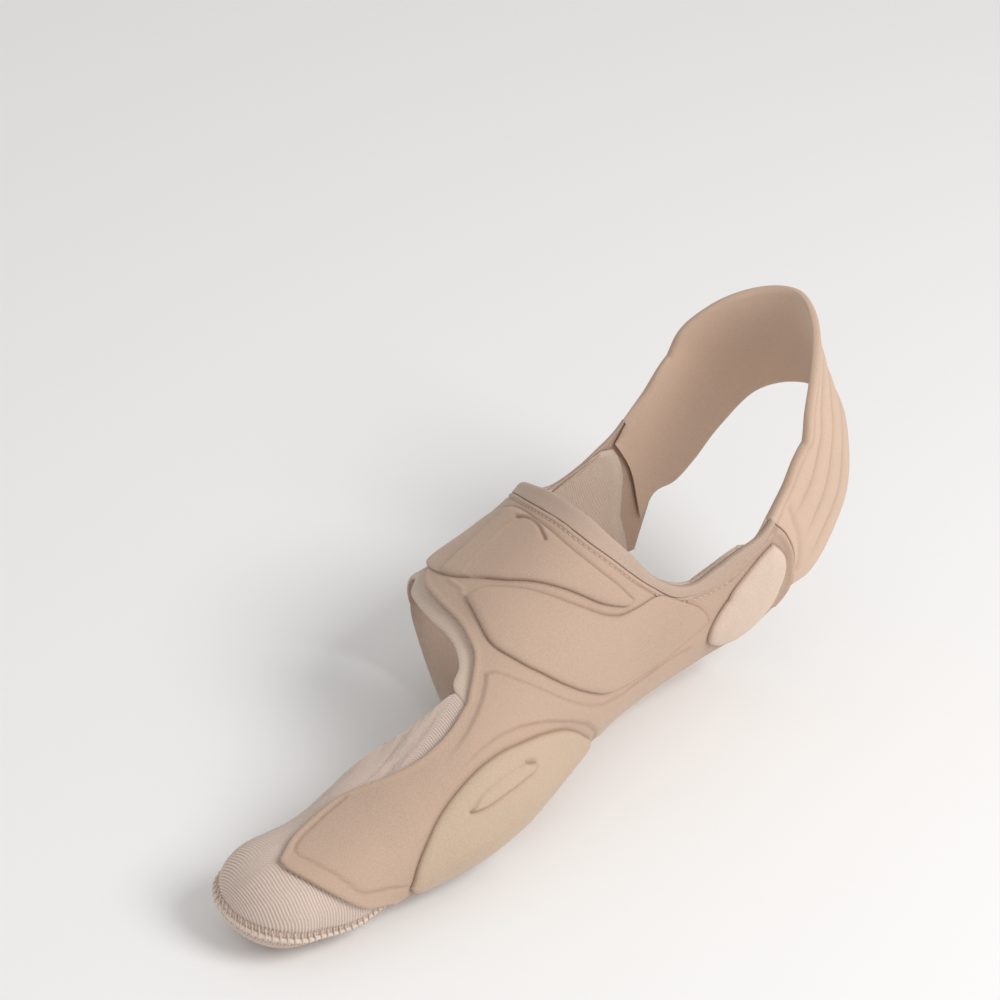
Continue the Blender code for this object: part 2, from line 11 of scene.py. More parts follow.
import bmesh
import bpy
import numpy as np
from mathutils import Matrix, Vector
from mathutils.kdtree import KDTree


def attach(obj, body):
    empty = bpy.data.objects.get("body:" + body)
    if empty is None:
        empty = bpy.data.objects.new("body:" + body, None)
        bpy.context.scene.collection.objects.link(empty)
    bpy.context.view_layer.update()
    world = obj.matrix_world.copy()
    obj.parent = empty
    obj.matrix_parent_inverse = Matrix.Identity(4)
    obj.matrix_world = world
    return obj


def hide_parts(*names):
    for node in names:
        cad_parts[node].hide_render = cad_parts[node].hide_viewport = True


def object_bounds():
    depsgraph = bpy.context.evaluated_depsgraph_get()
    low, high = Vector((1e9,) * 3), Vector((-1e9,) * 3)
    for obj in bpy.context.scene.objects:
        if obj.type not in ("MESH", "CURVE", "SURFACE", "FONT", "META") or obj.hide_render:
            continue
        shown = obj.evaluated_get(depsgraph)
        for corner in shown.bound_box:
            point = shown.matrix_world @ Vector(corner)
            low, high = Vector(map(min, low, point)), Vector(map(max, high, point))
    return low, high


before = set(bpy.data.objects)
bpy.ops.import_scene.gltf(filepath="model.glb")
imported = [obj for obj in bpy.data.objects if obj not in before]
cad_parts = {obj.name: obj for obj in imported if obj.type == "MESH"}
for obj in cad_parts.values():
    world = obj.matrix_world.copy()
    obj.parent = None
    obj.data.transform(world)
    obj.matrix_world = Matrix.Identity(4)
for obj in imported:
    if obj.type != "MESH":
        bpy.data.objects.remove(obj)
cad_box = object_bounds()

MM = 0.001

# Driving sizes, walls and clearances of the model
FOOT_LENGTH = 0.243
BALL_WIDTH = 0.080
INSTEP_HEIGHT = 0.080
ANKLE_HEIGHT = 0.100
SEAT_FROM_HEEL = 0.120
KNIT_WALL = 1.0 * MM
PANEL_WALL = 1.2 * MM
STRAP_WALL = 2.0 * MM
SEAM_RADIUS = 0.8 * MM
GAP = 0.3 * MM
PLY_GAP = 0.5 * MM
PANEL_LOW = KNIT_WALL + PLY_GAP
PANEL_TOP = PANEL_LOW + PANEL_WALL

# The form: shares of FOOT_LENGTH, BALL_WIDTH and INSTEP_HEIGHT in percent, squareness of quarters
#   station  mid   inner outer  centre up    down   ui   uo    li   lo
FORE_SECTIONS = np.array([
    (93.8,   33.0, 22.0, 17.0,  15.6, 14.4, 15.6,   2.3, 2.3,  2.4, 2.3),
    (88.9,   34.4, 23.1, 17.5,  15.6, 15.6, 15.6,   2.3, 2.3,  2.4, 2.3),
    (84.0,   32.5, 23.1, 18.1,  16.3, 17.5, 16.3,   2.3, 2.2,  2.4, 2.3),
    (78.2,   30.6, 25.0, 22.5,  18.1, 21.3, 18.1,   2.2, 2.1,  2.4, 2.2),
    (72.4,   25.0, 31.2, 37.5,  20.0, 27.5, 20.0,   2.1, 1.9,  2.4, 2.2),
    (65.8,   17.5, 36.2, 56.2,  22.5, 35.6, 22.5,   2.0, 1.8,  2.3, 2.2),
    (59.7,   12.5, 35.6, 63.8,  25.0, 42.5, 25.0,   2.0, 1.75, 2.2, 2.2),
    (53.5,   10.0, 32.5, 61.3,  27.5, 47.5, 26.9,   2.0, 1.75, 2.0, 2.2),
    (47.3,   7.5,  30.0, 56.3,  30.0, 54.4, 28.1,   2.0, 1.75, 1.9, 2.2),
    (41.2,   4.4,  29.4, 50.0,  32.5, 66.3, 30.6,   2.0, 1.8,  1.9, 2.2),
])
#   station tilt  mid  inner outer  rise centre front back    ui   uo   li   lo
ANKLE_SECTIONS = np.array([
    (34.6,  14.0, 2.5, 31.2, 45.0,  0.0, 68.0, 8.0, 101.0,   2.1, 2.0, 1.9, 2.2),
    (28.8,  28.0, 1.2, 35.0, 41.2,  0.0, 66.0, 6.0, 109.0,   2.2, 2.1, 2.0, 2.2),
    (23.0,  42.0, 0.0, 38.8, 38.8,  0.0, 68.0, 5.0, 120.0,   2.2, 2.2, 2.1, 2.2),
    (17.3,  56.0, 0.0, 37.5, 37.5,  0.0, 64.0, 4.0, 110.0,   2.1, 2.1, 2.1, 2.1),
    (11.5,  70.0, 0.0, 35.6, 35.6,  0.0, 56.0, 4.0, 93.0,    2.1, 2.1, 1.9, 1.9),
    (5.8,   80.0, 0.0, 34.4, 34.4,  0.0, 48.0, 5.0, 82.0,    2.1, 2.1, 1.8, 1.8),
    (0.0,   90.0, 0.0, 33.8, 33.8,  0.0, 44.0, 6.0, 76.0,    2.1, 2.1, 1.7, 1.7),
    (-8.0,  90.0, 0.0, 33.8, 33.8,  20.0, 43.0, 6.0, 74.0,   2.1, 2.1, 1.7, 1.7),
    (-16.0, 90.0, 0.0, 35.0, 35.0,  40.0, 43.0, 5.0, 75.0,   2.1, 2.1, 1.8, 1.8),
])
BEND_STATION = 39.5
NOSE_STATION = 93.8
NOSE_POWER = 2.1
NOSE_DRIFT = 2.0
BOTTOM = 270               # turn of the sole line and of the back of the leg

# Edges of the cloths on the form, within about 3 mm of the model's: station and turn
SLEEVE_FRONT = [
    (54.3, 0), (56.0, 25), (58.0, 43), (60.5, 50), (61.9, 59), (63.0, 70), (63.6, 81),
    (64.4, 89), (65.5, 96),
]
TOE_JOINT = 67.5
TOE_JOINT_TURNS = (101, 125, 150, 175, 195, 212)
SLEEVE_SOLE = [(66.0, 228), (62.5, 250), (59.0, 280), (56.0, 310), (54.5, 335)]
#   turn station
CAP_BACK = [
    (0, 80.7), (25, 80.5), (45, 79.8), (59, 78.2), (74, 76.1), (85, 74.1), (92, 71.6),
    (98, 69.0), (102, TOE_JOINT), (120, TOE_JOINT), (160, TOE_JOINT), (200, TOE_JOINT),
    (212, TOE_JOINT), (228, 69.5), (250, 72.5), (280, 76.0), (310, 78.6), (335, 80.0),
]
CAP_TIP = 99.999
#   free edge    sewn edge
HEM_HALF = [
    (44.5, 90,   46.3, 90),
    (44.2, 104,  46.1, 104),
    (43.4, 120,  45.2, 119),
    (41.3, 138,  43.0, 137),
    (38.6, 154,  39.8, 153),
    (35.0, 166,  36.2, 167),
    (30.4, 168.6, 30.9, 173.6),
    (25.6, 168.8, 26.0, 172.2),
    (21.4, 169,  21.6, 170.4),
]
STRAP_JOINT = [(21.7, 171.5), (21.9, 176), (22.7, 181.5), (24.0, 189), (25.3, 198)]
LOWER_BACK = [(27.4, 207), (29.6, 217)]
SLEEVE_LOWER = [(29.6, 207), (30.5, 218)]
SOLE_BACK = [(31.8, 235), (32.8, 270)]
STRAP_LAP = 3.2
KNIT_LAP_GAP = 0.5
#   top edge     bottom edge
TOE_STRIP = [
    (94.6, 101,  83.5, 212),
    (92.6, 91,   81.8, 213),
    (88.8, 79.5, 79.5, 214),
    (84.6, 79,   77.0, 214.5),
    (80.0, 93,   74.5, 215),
    (75.4, 107,  72.0, 215),
    (71.2, 112.5, 69.5, 215),
    (67.4, 112.5, 67.4, 215),
]
TOE_STRIP_END = [
    (94.6, 110), (94.1, 121), (93.2, 135), (92.0, 149), (90.6, 163), (89.0, 177), (87.2, 186),
    (85.0, 197),
]
PANEL_FRONT = [
    (65.0, 106.5), (63.4, 101), (62.5, 92), (61.7, 82), (61.0, 71), (59.7, 59), (57.8, 51),
    (54.7, 45), (51.5, 33), (49.0, 18), (47.5, 2), (46.0, -14), (43.5, -26),
]
#   edge one     edge two
INSTEP_CUSHION = [
    (43.0, 149,  43.0, 149),
    (44.0, 143,  44.6, 147),
    (46.3, 125,  47.8, 135),
    (47.7, 104,  51.0, 116),
    (47.6, 83,   53.6, 98),
    (46.6, 63,   56.0, 81),
    (46.2, 46,   57.6, 66),
    (47.4, 34,   57.0, 51),
    (50.4, 31,   54.6, 38),
    (52.4, 33,   52.4, 33),
]
SIDE_CUSHION = [
    (59.2, 79,   59.2, 79),
    (57.0, 84,   60.5, 92),
    (54.8, 98,   61.3, 107),
    (52.2, 117,  60.0, 124),
    (50.2, 129,  58.3, 136),
    (47.9, 140,  56.1, 148),
    (45.5, 148,  53.2, 160),
    (42.6, 153,  49.6, 171),
    (39.2, 158,  45.6, 177),
    (36.4, 168,  41.6, 180),
    (34.2, 177,  37.6, 184),
    (33.8, 184,  33.8, 184),
]
BUNION_PAD = [
    (81.9, 190,  81.9, 190),
    (80.8, 172,  81.0, 203),
    (79.2, 159,  78.6, 211),
    (77.2, 149,  75.4, 216),
    (74.6, 143,  72.0, 218),
    (71.2, 141,  68.4, 218.5),
    (67.6, 144,  64.8, 218),
    (64.4, 150,  61.6, 216),
    (60.8, 158,  58.4, 213),
    (57.0, 168,  55.4, 208),
    (53.8, 181,  53.0, 202),
    (52.2, 194,  52.2, 194),
]
HEEL_PAD = [
    (23.6, 174,   23.6, 174),
    (25.4, 174.6, 23.6, 179),
    (28.0, 177,   24.5, 185),
    (30.6, 179.4, 25.9, 192),
    (32.6, 184,   27.4, 201),
    (33.8, 191,   29.2, 208.5),
    (34.0, 200,   31.2, 212),
    (33.0, 208,   33.0, 208),
]
#   upper edge   lower edge
STRAP_HALF = [
    (21.4, 169,  25.3, 198),
    (17.8, 170.4, 23.4, 200.5),
    (13.8, 174.8, 21.2, 203),
    (9.2, 185,   18.4, 208),
    (3.3, 203,   15.6, 217),
    (-0.8, 222,  13.2, 230),
    (-3.3, 246,  11.2, 250),
    (-4.1, 270,  10.3, 270),
]
# The cap's seam on its way to the tip, which it crosses
SEAM_INNER = [
    (83.5, 209), (87.0, 208), (91.0, 206), (94.4, 199), (96.8, 192), (98.6, 189), (100.0, 188),
]
SEAM_OUTER = [(84.0, 352), (89.0, 353), (94.0, 356), (97.0, 360), (98.6, 364), (100.0, 368)]

# Moulded relief of the panel and its cushions: station and turn
LOW_FIELD = [
    (74.0, 122), (72.0, 123), (69.5, 122.5), (67.5, 121), (65.8, 118.5), (64.6, 115.5),
    (63.9, 112.8), (63.0, 116), (61.4, 128), (59.4, 140), (57.3, 151), (55.2, 160), (52.6, 169),
    (50.0, 175.5), (46.0, 180.5), (42.0, 184), (38.0, 188.5), (36.0, 193), (40.0, 200), (46.0, 205),
    (49.6, 206), (51.2, 199), (51.2, 190), (52.0, 183), (53.2, 176), (56.2, 166), (60.1, 154),
    (63.6, 144), (66.3, 138), (69.0, 134.5), (72.0, 133), (74.5, 135),
]
LOW_FIELD_FADE = (68.0, 74.0)
TOE_PRESS = [
    (83.6, 86.5), (87.2, 85.5), (91.0, 91.5), (92.6, 100), (92.1, 113), (90.7, 132), (89.5, 151),
    (88.6, 162), (86.4, 171.5), (82.6, 185),
]
INSTEP_PRESS = [
    (45.9, 66), (46.2, 61), (47.0, 58.5), (48.8, 58), (51.0, 58), (53.6, 58.5), (56.2, 59),
    (58.6, 59.5),
]
BOX_GROOVE = [(47.9, 69), (47.6, 74), (47.9, 81), (48.9, 90)]
BOX = [
    (47.9, 69), (47.6, 74), (47.9, 81), (48.9, 90), (52.5, 88), (55.4, 84), (57.0, 76),
    (57.0, 70), (55.2, 68.5), (52.4, 68), (49.6, 67.5),
]
BOX_FADE = (70, 86)
BOX_TICKS = [[(58.2, 67), (58.5, 75)], [(59.0, 76), (59.2, 82)]]
HEEL_RIDGE = [
    (29.5, 175), (25.8, 173.2), (23.4, 172.2), (22.4, 173.4), (22.3, 176.6), (23.1, 182),
    (24.4, 189.5), (25.7, 198), (27.0, 204),
]
STRAP_CREASE = [(19.4, 174), (20.4, 177.5), (21.4, 181.5), (22.6, 186), (24.0, 191)]
TONGUE = [
    (73.4, 157), (71.6, 159.6), (68.4, 161.3), (65.6, 163), (64.4, 163.8), (63.9, 161.5),
    (65.0, 158), (66.8, 155), (69.2, 153.2), (71.6, 153),
]
TONGUE_CRISP = 7           # so many of its points, from the first, make the crisp edge

# How fine the nets are
INNER_EVERY = 8          # the inside of a cloth has one row in so many
PANEL_JOINT_STEPS = (46, 38)
PANEL_HEM_INNER = 20     # columns for each row of the hem's table
PANEL_HEM_OUTER = 10
PANEL_OUTER_STEPS = (8, 8)
PANEL_ROWS = 178
STRIP_PER_ROW = 14
SLEEVE_STEPS = (96, 32, 80, 80, 32, 96)
SLEEVE_ROWS = 64
CAP_COLUMNS = 168
CAP_ROWS = 470
HEM_PER_ROW = 36
HEM_ROWS = 26
STRAP_PER_ROW = 28
STRAP_COLUMNS = 60
JOINT_PER_ROW = 6

# Ribs, seams and edges
CAP_RIB = 0.82 * MM
CAP_RIB_DEPTH = 0.13 * MM
RIB_FADE = (99.9, 99.98)   # stations over which the cap's ribs end, at the very tip
WAVE_FADE = (96.0, 99.5)   # stations over which they stop wandering
CAP_EDGE_TO = 97           # up to this station the cap has an edge to round
STRAP_RIBS = 4
STRAP_RIB_DEPTH = 0.8 * MM
EDGE_ROUND = 0.7 * MM
SEWN_ROUND = 0.3 * MM      # the same where the panel meets the hem or the strap
SEWN_GAP = 0.12 * MM       # between the hem and the panel
PAD_BASE = PANEL_TOP + 0.05 * MM
STITCH_THREAD = 0.17 * MM
STITCH_REACH = 2.4 * MM    # how far the seam's stitches reach up on the cap
SEAM_PITCH = 1.9 * MM
SEAM_LIFT = KNIT_WALL + 0.2 * SEAM_RADIUS
HEM_GROOVE = 1.7 * MM      # from the hem's sewn edge to the stitched groove beside it
HEM_PITCH = 1.9 * MM
#   share of the pitch, millimetres over the groove
HEM_STITCH = [(0.0, -0.25), (0.12, 0.0), (0.35, 0.08), (0.58, 0.0), (0.7, -0.25)]

# Where the neck between toe strip and panel is measured, and other limits of the nets
NECK_TURNS = (190, 168, 140)
RISE_TURNS = (92, 120)     # the front edge faces the hem between these turns
REACH_FROM = 60            # the cap's rows are spaced by the length of skin from this station on
REACH_STEPS = 600
NORMAL_TO = 99.995         # the form's normals are taken up to this station
FAR = 1.0                  # stands for the distance of places well away from a line
NEAR = 0.015               # and this for what is near enough to be measured


def smooth(table, at):
    """Catmull-Rom curve through the rows of table at the row numbers at."""
    table = np.asarray(table, float)
    slope = np.gradient(table, axis=0)
    row = np.clip(np.floor(at).astype(int), 0, len(table) - 2)
    t = (at - row)[:, None]
    ends = table[row] * (1 + 2 * t) * (1 - t) ** 2 + table[row + 1] * t * t * (3 - 2 * t)
    return ends + slope[row] * t * (1 - t) ** 2 + slope[row + 1] * t * t * (t - 1)


def curve(table, per_row):
    """Points on the smooth curve through table, per_row for each of its steps."""
    return smooth(table, np.linspace(0, len(table) - 1, per_row * (len(table) - 1) + 1))


def form_sections():
    """All sections as rows: station, x, centre, tilt, mid, inner, outer, up, down, quarters."""
    rows = []
    for station, mid, inner, outer, centre, up, down, *quarters in FORE_SECTIONS / 100:
        rows.append([station * 100, station * FOOT_LENGTH, centre * INSTEP_HEIGHT, 0.0,
                     mid * BALL_WIDTH, inner * BALL_WIDTH, outer * BALL_WIDTH,
                     up * INSTEP_HEIGHT, down * INSTEP_HEIGHT] + [q * 100 for q in quarters])
    for station, tilt, mid, inner, outer, rise, centre, front, back, *quarters in ANKLE_SECTIONS:
        lean = math.radians(tilt)
        reach = centre / 100 * ANKLE_HEIGHT
        rows.append([station, BEND_STATION / 100 * FOOT_LENGTH - reach * math.sin(lean),
                     (1 + rise / 100) * ANKLE_HEIGHT - reach * math.cos(lean), lean,
                     mid / 100 * BALL_WIDTH, inner / 100 * BALL_WIDTH, outer / 100 * BALL_WIDTH,
                     (centre - front) / 100 * ANKLE_HEIGHT,
                     (back - centre) / 100 * ANKLE_HEIGHT] + quarters)
    return np.array(rows)


SECTIONS = form_sections()


def section_at(station):
    """The form's section at each station, on a smooth curve through SECTIONS."""
    keys = -SECTIONS[:, 0]
    values = SECTIONS[:, 1:]
    slope = np.gradient(values, keys, axis=0)
    key = -np.minimum(station, NOSE_STATION)
    low = np.clip(np.searchsorted(keys, key) - 1, 0, len(keys) - 2)
    span = (keys[low + 1] - keys[low])[:, None]
    t = ((key - keys[low])[:, None]) / span
    ends = values[low] * (1 + 2 * t) * (1 - t) ** 2 + values[low + 1] * t * t * (3 - 2 * t)
    return ends + span * (slope[low] * t * (1 - t) ** 2 + slope[low + 1] * t * t * (t - 1))


def skin(station, turn):
    """Places on the form, as rows x, y, z."""
    x, centre, lean, mid, inner, outer, up, down, ui, uo, li, lo = section_at(station).T
    across = np.cos(np.radians(turn))
    over = np.sin(np.radians(turn))
    power = np.where(over >= 0, np.where(across < 0, ui, uo), np.where(across < 0, li, lo))
    nose = np.clip((station - NOSE_STATION) / (100 - NOSE_STATION), 0, 1)
    shrink = (1 - nose ** NOSE_POWER) ** (1 / NOSE_POWER)
    side = np.sign(across) * np.abs(across) ** (2 / power) * np.where(across < 0, inner, outer)
    rise = np.sign(over) * np.abs(over) ** (2 / power) * np.where(over > 0, up, down)
    drift = nose * NOSE_DRIFT / 100 * BALL_WIDTH
    ahead = np.where(station > NOSE_STATION, station / 100 * FOOT_LENGTH, x)
    ahead = ahead + np.sin(lean) * rise * shrink
    inward = mid - drift - side * shrink
    height = centre - drift + np.cos(lean) * rise * shrink
    return np.stack([SEAT_FROM_HEEL - ahead, -inward, height], -1)


def outward(station, turn):
    """Unit normals of the form, pointing out of the foot."""
    station = np.minimum(station, NORMAL_TO)
    step = np.minimum(0.2, (100 - station) / 2)
    along = skin(station + step, turn) - skin(station - step, turn)
    around = skin(station, turn + 1.0) - skin(station, turn - 1.0)
    normal = np.cross(along, around)
    return normal / np.linalg.norm(normal, axis=1)[:, None]


def lifted(spots, lift):
    """The places of a net of spots (station, turn), lifted off the form."""
    spots = np.asarray(spots, float)
    lift = np.broadcast_to(lift, len(spots))
    return skin(*spots.T) + outward(*spots.T) * lift[:, None]


def metres_per_step(spots):
    """How many metres one station and one degree of turn are at each spot."""
    station, turn = spots[:, 0], spots[:, 1]
    along = np.linalg.norm(skin(station + 0.5, turn) - skin(station - 0.5, turn), axis=1)
    around = np.linalg.norm(skin(station, turn + 0.5) - skin(station, turn - 0.5), axis=1)
    return np.stack([along, around], -1)


def pushed(spots, beyond, distance):
    """Spots moved by distance in the direction in which spots beyond them lie."""
    step = beyond - spots
    length = np.linalg.norm(step * metres_per_step(spots), axis=1)
    return spots + step * (distance / length)[:, None]


def shares(rows, edge=(0.0015, 0.004, 0.008)):
    """Shares from 0 to 1 in equal steps, with closer ones at both ends."""
    ends = np.array(edge)
    middle = np.linspace(0, 1, rows + 1)[1:-1]
    middle = middle[(middle > 1.4 * ends[-1]) & (middle < 1 - 1.4 * ends[-1])]
    return np.concatenate([[0], ends, middle, 1 - ends[::-1], [1]])


def between(first, last, share):
    """Rows of spots from the edge first to the edge last, at each share of the way."""
    share = np.asarray(share)[:, None, None]
    return (1 - share) * first + share * last


def crisp_sides(grid, near=(0.2, 0.5)):
    """A grid with more columns beside its first and its last one."""
    grid = np.asarray(grid, float)
    left = [grid[:, :1] + share * (grid[:, 1:2] - grid[:, :1]) for share in near]
    right = [grid[:, -1:] + share * (grid[:, -2:-1] - grid[:, -1:]) for share in near[::-1]]
    return np.concatenate([grid[:, :1], *left, grid[:, 1:-1], *right, grid[:, -1:]], axis=1)


def mirrored(rows):
    """Edge rows of the outer side, from those of the inner side: stations kept, turns mirrored."""
    rows = np.array(rows, float)
    rows[:, 1::2] = 180 - rows[:, 1::2]
    return rows


def other_side(edge):
    """An edge of the inner side mirrored to the outer side and run the other way."""
    edge = np.asarray(edge, float)[::-1].copy()
    edge[:, 1] = 180 - edge[:, 1]
    return edge


def evenly(edge, steps):
    """Spots in equal lengths along an edge, steps + 1 of them with both ends."""
    edge = np.asarray(edge, float)
    length = np.linalg.norm(np.diff(lifted(edge, 0.0), axis=0), axis=1)
    reach = np.append(0, np.cumsum(length))
    share = np.linspace(0, reach[-1], steps + 1)
    return np.stack([np.interp(share, reach, edge[:, 0]), np.interp(share, reach, edge[:, 1])], -1)


def joined(edges, steps, closed=False):
    """The edges one after another, each in its own number of equal steps."""
    spots = [evenly(edge, count)[:-1] for edge, count in zip(edges, steps)]
    if not closed:
        spots.append(np.asarray(edges[-1], float)[-1:])
    return np.vstack(spots)


def stretch(edge, low, high):
    """The part of a sampled edge whose turns lie between low and high."""
    edge = np.asarray(edge, float)
    return edge[(edge[:, 1] >= low) & (edge[:, 1] <= high)]


def trace(table, per_row=5):
    """Places on the form along the smooth curve through a table of spots."""
    return skin(*curve(table, per_row).T)


def distance_to(places, line):
    """Distance of each place to a line of points, FAR for places well away from it."""
    line = line[np.append(True, np.linalg.norm(np.diff(line, axis=0), axis=1) > 1e-7)]
    step = np.diff(line, axis=0)
    length = np.linalg.norm(step, axis=1)
    best = np.full(len(places), FAR)
    near = np.all((places > line.min(0) - NEAR) & (places < line.max(0) + NEAR), axis=1)
    close = places[near]
    gap = best[near]
    for k in range(len(step)):
        offset = close - line[k]
        share = np.clip(offset @ step[k] / length[k] ** 2, 0, 1)
        gap = np.minimum(gap, np.linalg.norm(offset - share[:, None] * step[k], axis=1))
    best[near] = gap
    return best


def inside(spots, outline):
    """Which spots lie inside a closed outline of spots."""
    outline = np.asarray(outline, float)
    hit = np.zeros(len(spots), bool)
    for (s0, t0), (s1, t1) in zip(outline, np.roll(outline, -1, axis=0)):
        crosses = (t0 > spots[:, 1]) != (t1 > spots[:, 1])
        if t0 != t1:
            at = s0 + (spots[:, 1] - t0) / (t1 - t0) * (s1 - s0)
            hit ^= crosses & (spots[:, 0] < at)
    return hit


def depth_in(spots, places, outline):
    """Distance to a closed outline, negative outside it."""
    ring = np.vstack([np.asarray(outline, float), outline[0]])
    distance = distance_to(places, skin(*ring.T))
    return np.where(inside(spots, outline), distance, -distance)


def dip(distance, width):
    """1 on a line, falling off within width."""
    return np.exp(-(distance / width) ** 2)


def ease(low, high, value):
    """0 up to low, 1 from high on, smooth in between."""
    t = np.clip((value - low) / (high - low), 0, 1)
    return t * t * (3 - 2 * t)


def quarter(distance, radius):
    """A rounded shoulder: 0 at the edge, 1 from radius on, steep at first."""
    t = np.clip(1 - distance / radius, 0, 1)
    return np.sqrt(1 - t * t)


def unevenness(places):
    """Faint waves of worn cloth, between -1 and 1."""
    x, y, z = places.T * 2 * math.pi
    return (np.sin(x / 0.031 + 2.1 * np.sin(z / 0.047)) + np.sin(y / 0.023 + z / 0.037)
            + np.sin(z / 0.019 + 1.7 * np.sin(x / 0.041))) / 3


def panel_relief(spots, places):
    """Height and shade of the press lines and low fields moulded into the panel."""
    height = np.zeros(len(spots))
    shade = np.zeros(len(spots))
    field = depth_in(spots, places, LOW_FIELD)
    fade = 1 - ease(*LOW_FIELD_FADE, spots[:, 0])
    height += 0.65 * MM * ease(-0.3 * MM, 0.9 * MM, field) * fade
    shade += 0.4 * dip(field + 0.2 * MM, 0.4 * MM) * fade
    line = distance_to(places, trace(TOE_PRESS))
    height -= 0.4 * MM * dip(line, 0.55 * MM)
    shade += 0.45 * dip(line, 0.45 * MM)
    sewn = curve(hem_rows(), 12)[:, 2:]
    line = distance_to(places, skin(*sewn.T))
    height -= 0.4 * MM * dip(line - HEM_GROOVE, 0.45 * MM)
    shade += 0.5 * dip(line - HEM_GROOVE, 0.4 * MM)
    ridge = distance_to(places, trace(HEEL_RIDGE))
    height += 0.55 * MM * dip(ridge, 0.9 * MM)
    for tick in BOX_TICKS:
        line = distance_to(places, trace(tick))
        height += 0.45 * MM * dip(line, 0.7 * MM)
    for table in (INSTEP_CUSHION, SIDE_CUSHION, BUNION_PAD, HEEL_PAD):
        rim = distance_to(places, outline_of(table))
        height -= 0.15 * MM * dip(rim, 0.8 * MM)
        shade += 0.45 * dip(rim, 0.6 * MM)
    return height, shade


def outline_of(table, per_row=4):
    """The closed outline of a pad as places on the form."""
    rows = curve(table, per_row)
    ring = np.vstack([rows[:, :2], rows[::-1, 2:], rows[:1, :2]])
    return skin(*ring.T)


def hem_rows():
    """Free and sewn edge of the whole hem, from the outer joint over the top to the inner one."""
    half = np.array(HEM_HALF, float)
    return np.vstack([mirrored(half)[:0:-1], half])


def strap_rows():
    """Upper and lower edge of the whole strap, from the inner joint to the outer joint."""
    half = np.array(STRAP_HALF, float)
    start = half[0] + [STRAP_LAP, 1.5, STRAP_LAP * 0.75, 7]
    half = np.vstack([start, half])
    back = half[-2::-1].copy()
    back[:, 1::2] = 2 * BOTTOM - back[:, 1::2]
    return np.vstack([half, back])


class Cloth:
    """A fine net of spots on the form, which becomes one closed sheet with a wall."""

    def __init__(self):
        self.spots = []
        self.faces = []
        self.inner_faces = []
        self.known = {}

    def number(self, spot):
        key = (round(spot[0], 5), round(spot[1] % 360, 4) % 360)
        if key not in self.known:
            self.known[key] = len(self.spots)
            self.spots.append((float(spot[0]), float(spot[1])))
        return self.known[key]

    def quads(self, numbers, closed):
        """Faces between rows of vertex numbers."""
        faces = []
        columns = len(numbers[0])
        for low, high in zip(numbers, numbers[1:]):
            for i in range(columns if closed else columns - 1):
                j = (i + 1) % columns
                corners = list(dict.fromkeys([low[i], low[j], high[j], high[i]]))
                if len(corners) > 2:
                    faces.append(corners)
        return faces

    def add(self, rows, closed=False, every=INNER_EVERY):
        """The outside gets every row of the grid, the inside one in every."""
        numbers = [[self.number(spot) for spot in row] for row in rows]
        self.faces += self.quads(numbers, closed)
        kept = numbers[:-1:every] + numbers[-1:]
        self.inner_faces += self.quads(kept, closed)
        return numbers

    def border(self):
        """The open edges of the outside, as a dict from each vertex to the next."""
        sides = {}
        for face in self.faces:
            for i, j in zip(face, face[1:] + face[:1]):
                if sides.pop((j, i), None) is None:
                    sides[(i, j)] = True
        return dict(sides)

    def edge_distance(self, places):
        """How far each place lies from the cloth's edge."""
        rim = sorted({i for edge in self.border() for i in edge})
        tree = KDTree(len(rim))
        for k, i in enumerate(rim):
            tree.insert(places[i], k)
        tree.balance()
        return np.array([tree.find(place)[2] for place in places])

    def net(self):
        """The spots, their places on the form, and how far each lies from the edge."""
        spots = np.array(self.spots)
        places = skin(*spots.T)
        return spots, places, self.edge_distance(places)

    def build(self, name, low, high, shade, tip=None):
        """The sheet between the layers low and high; tip is a ring closed by a point."""
        spots = np.array(self.spots)
        top = list(lifted(spots, high))
        faces = [list(face) for face in self.faces]
        inner = [list(face) for face in self.inner_faces]
        low = np.broadcast_to(low, len(spots))
        shade = list(shade)
        kept = sorted({i for face in inner for i in face})
        place_of = {spot: k for k, spot in enumerate(kept)}
        bottom = list(lifted(spots[kept], low[kept]))
        after = {i: j for i, j in self.border()}
        if tip:
            for i, j in zip(tip, tip[1:] + tip[:1]):
                after.pop(i, None)
                after.pop(j, None)
                faces.append([i, j, len(top)])
                inner.append([i, j, len(top)])
            place_of[len(top)] = len(bottom)
            bottom.append(np.mean([bottom[place_of[i]] for i in tip], 0))
            shade.append(np.mean([shade[i] for i in tip]))
            top.append(np.mean([top[i] for i in tip], 0))
        count = len(top)
        solid = faces + [[count + place_of[i] for i in reversed(face)] for face in inner]
        for start in [i for i in after if i in place_of]:
            run = [start, after[start]]
            while run[-1] not in place_of:
                run.append(after[run[-1]])
            solid.append(run[::-1] + [count + place_of[start], count + place_of[run[-1]]])
        stations = [spots[i, 0] if i < len(spots) else 100.0 for i in list(range(count)) + kept]
        stations += [100.0] * (count + len(bottom) - len(stations))
        shades = shade + [0.0] * len(bottom)
        return add_object(name, top + bottom, solid, shade=shades, along=stations)


def add_object(name, places, faces, shade=None, along=None):
    """A named object from places and faces, its faces pointing out, shaded smooth."""
    mesh = bpy.data.meshes.new(name)
    mesh.from_pydata([tuple(place) for place in places], [], faces)
    solid = bmesh.new()
    solid.from_mesh(mesh)
    bmesh.ops.recalc_face_normals(solid, faces=solid.faces)
    solid.to_mesh(mesh)
    solid.free()
    mesh.shade_smooth()
    # shade carries the painted shade of grooves, rims, creases, edges and rib troughs; along is the
    # station
    for label, values in (("shade", shade), ("along", along)):
        layer = mesh.attributes.new(label, "FLOAT", "POINT")
        values = np.zeros(len(places)) if values is None else np.array(values)
        layer.data.foreach_set("value", values.astype(np.float32))
    item = bpy.data.objects.new(name, mesh)
    bpy.context.collection.objects.link(item)
    return item


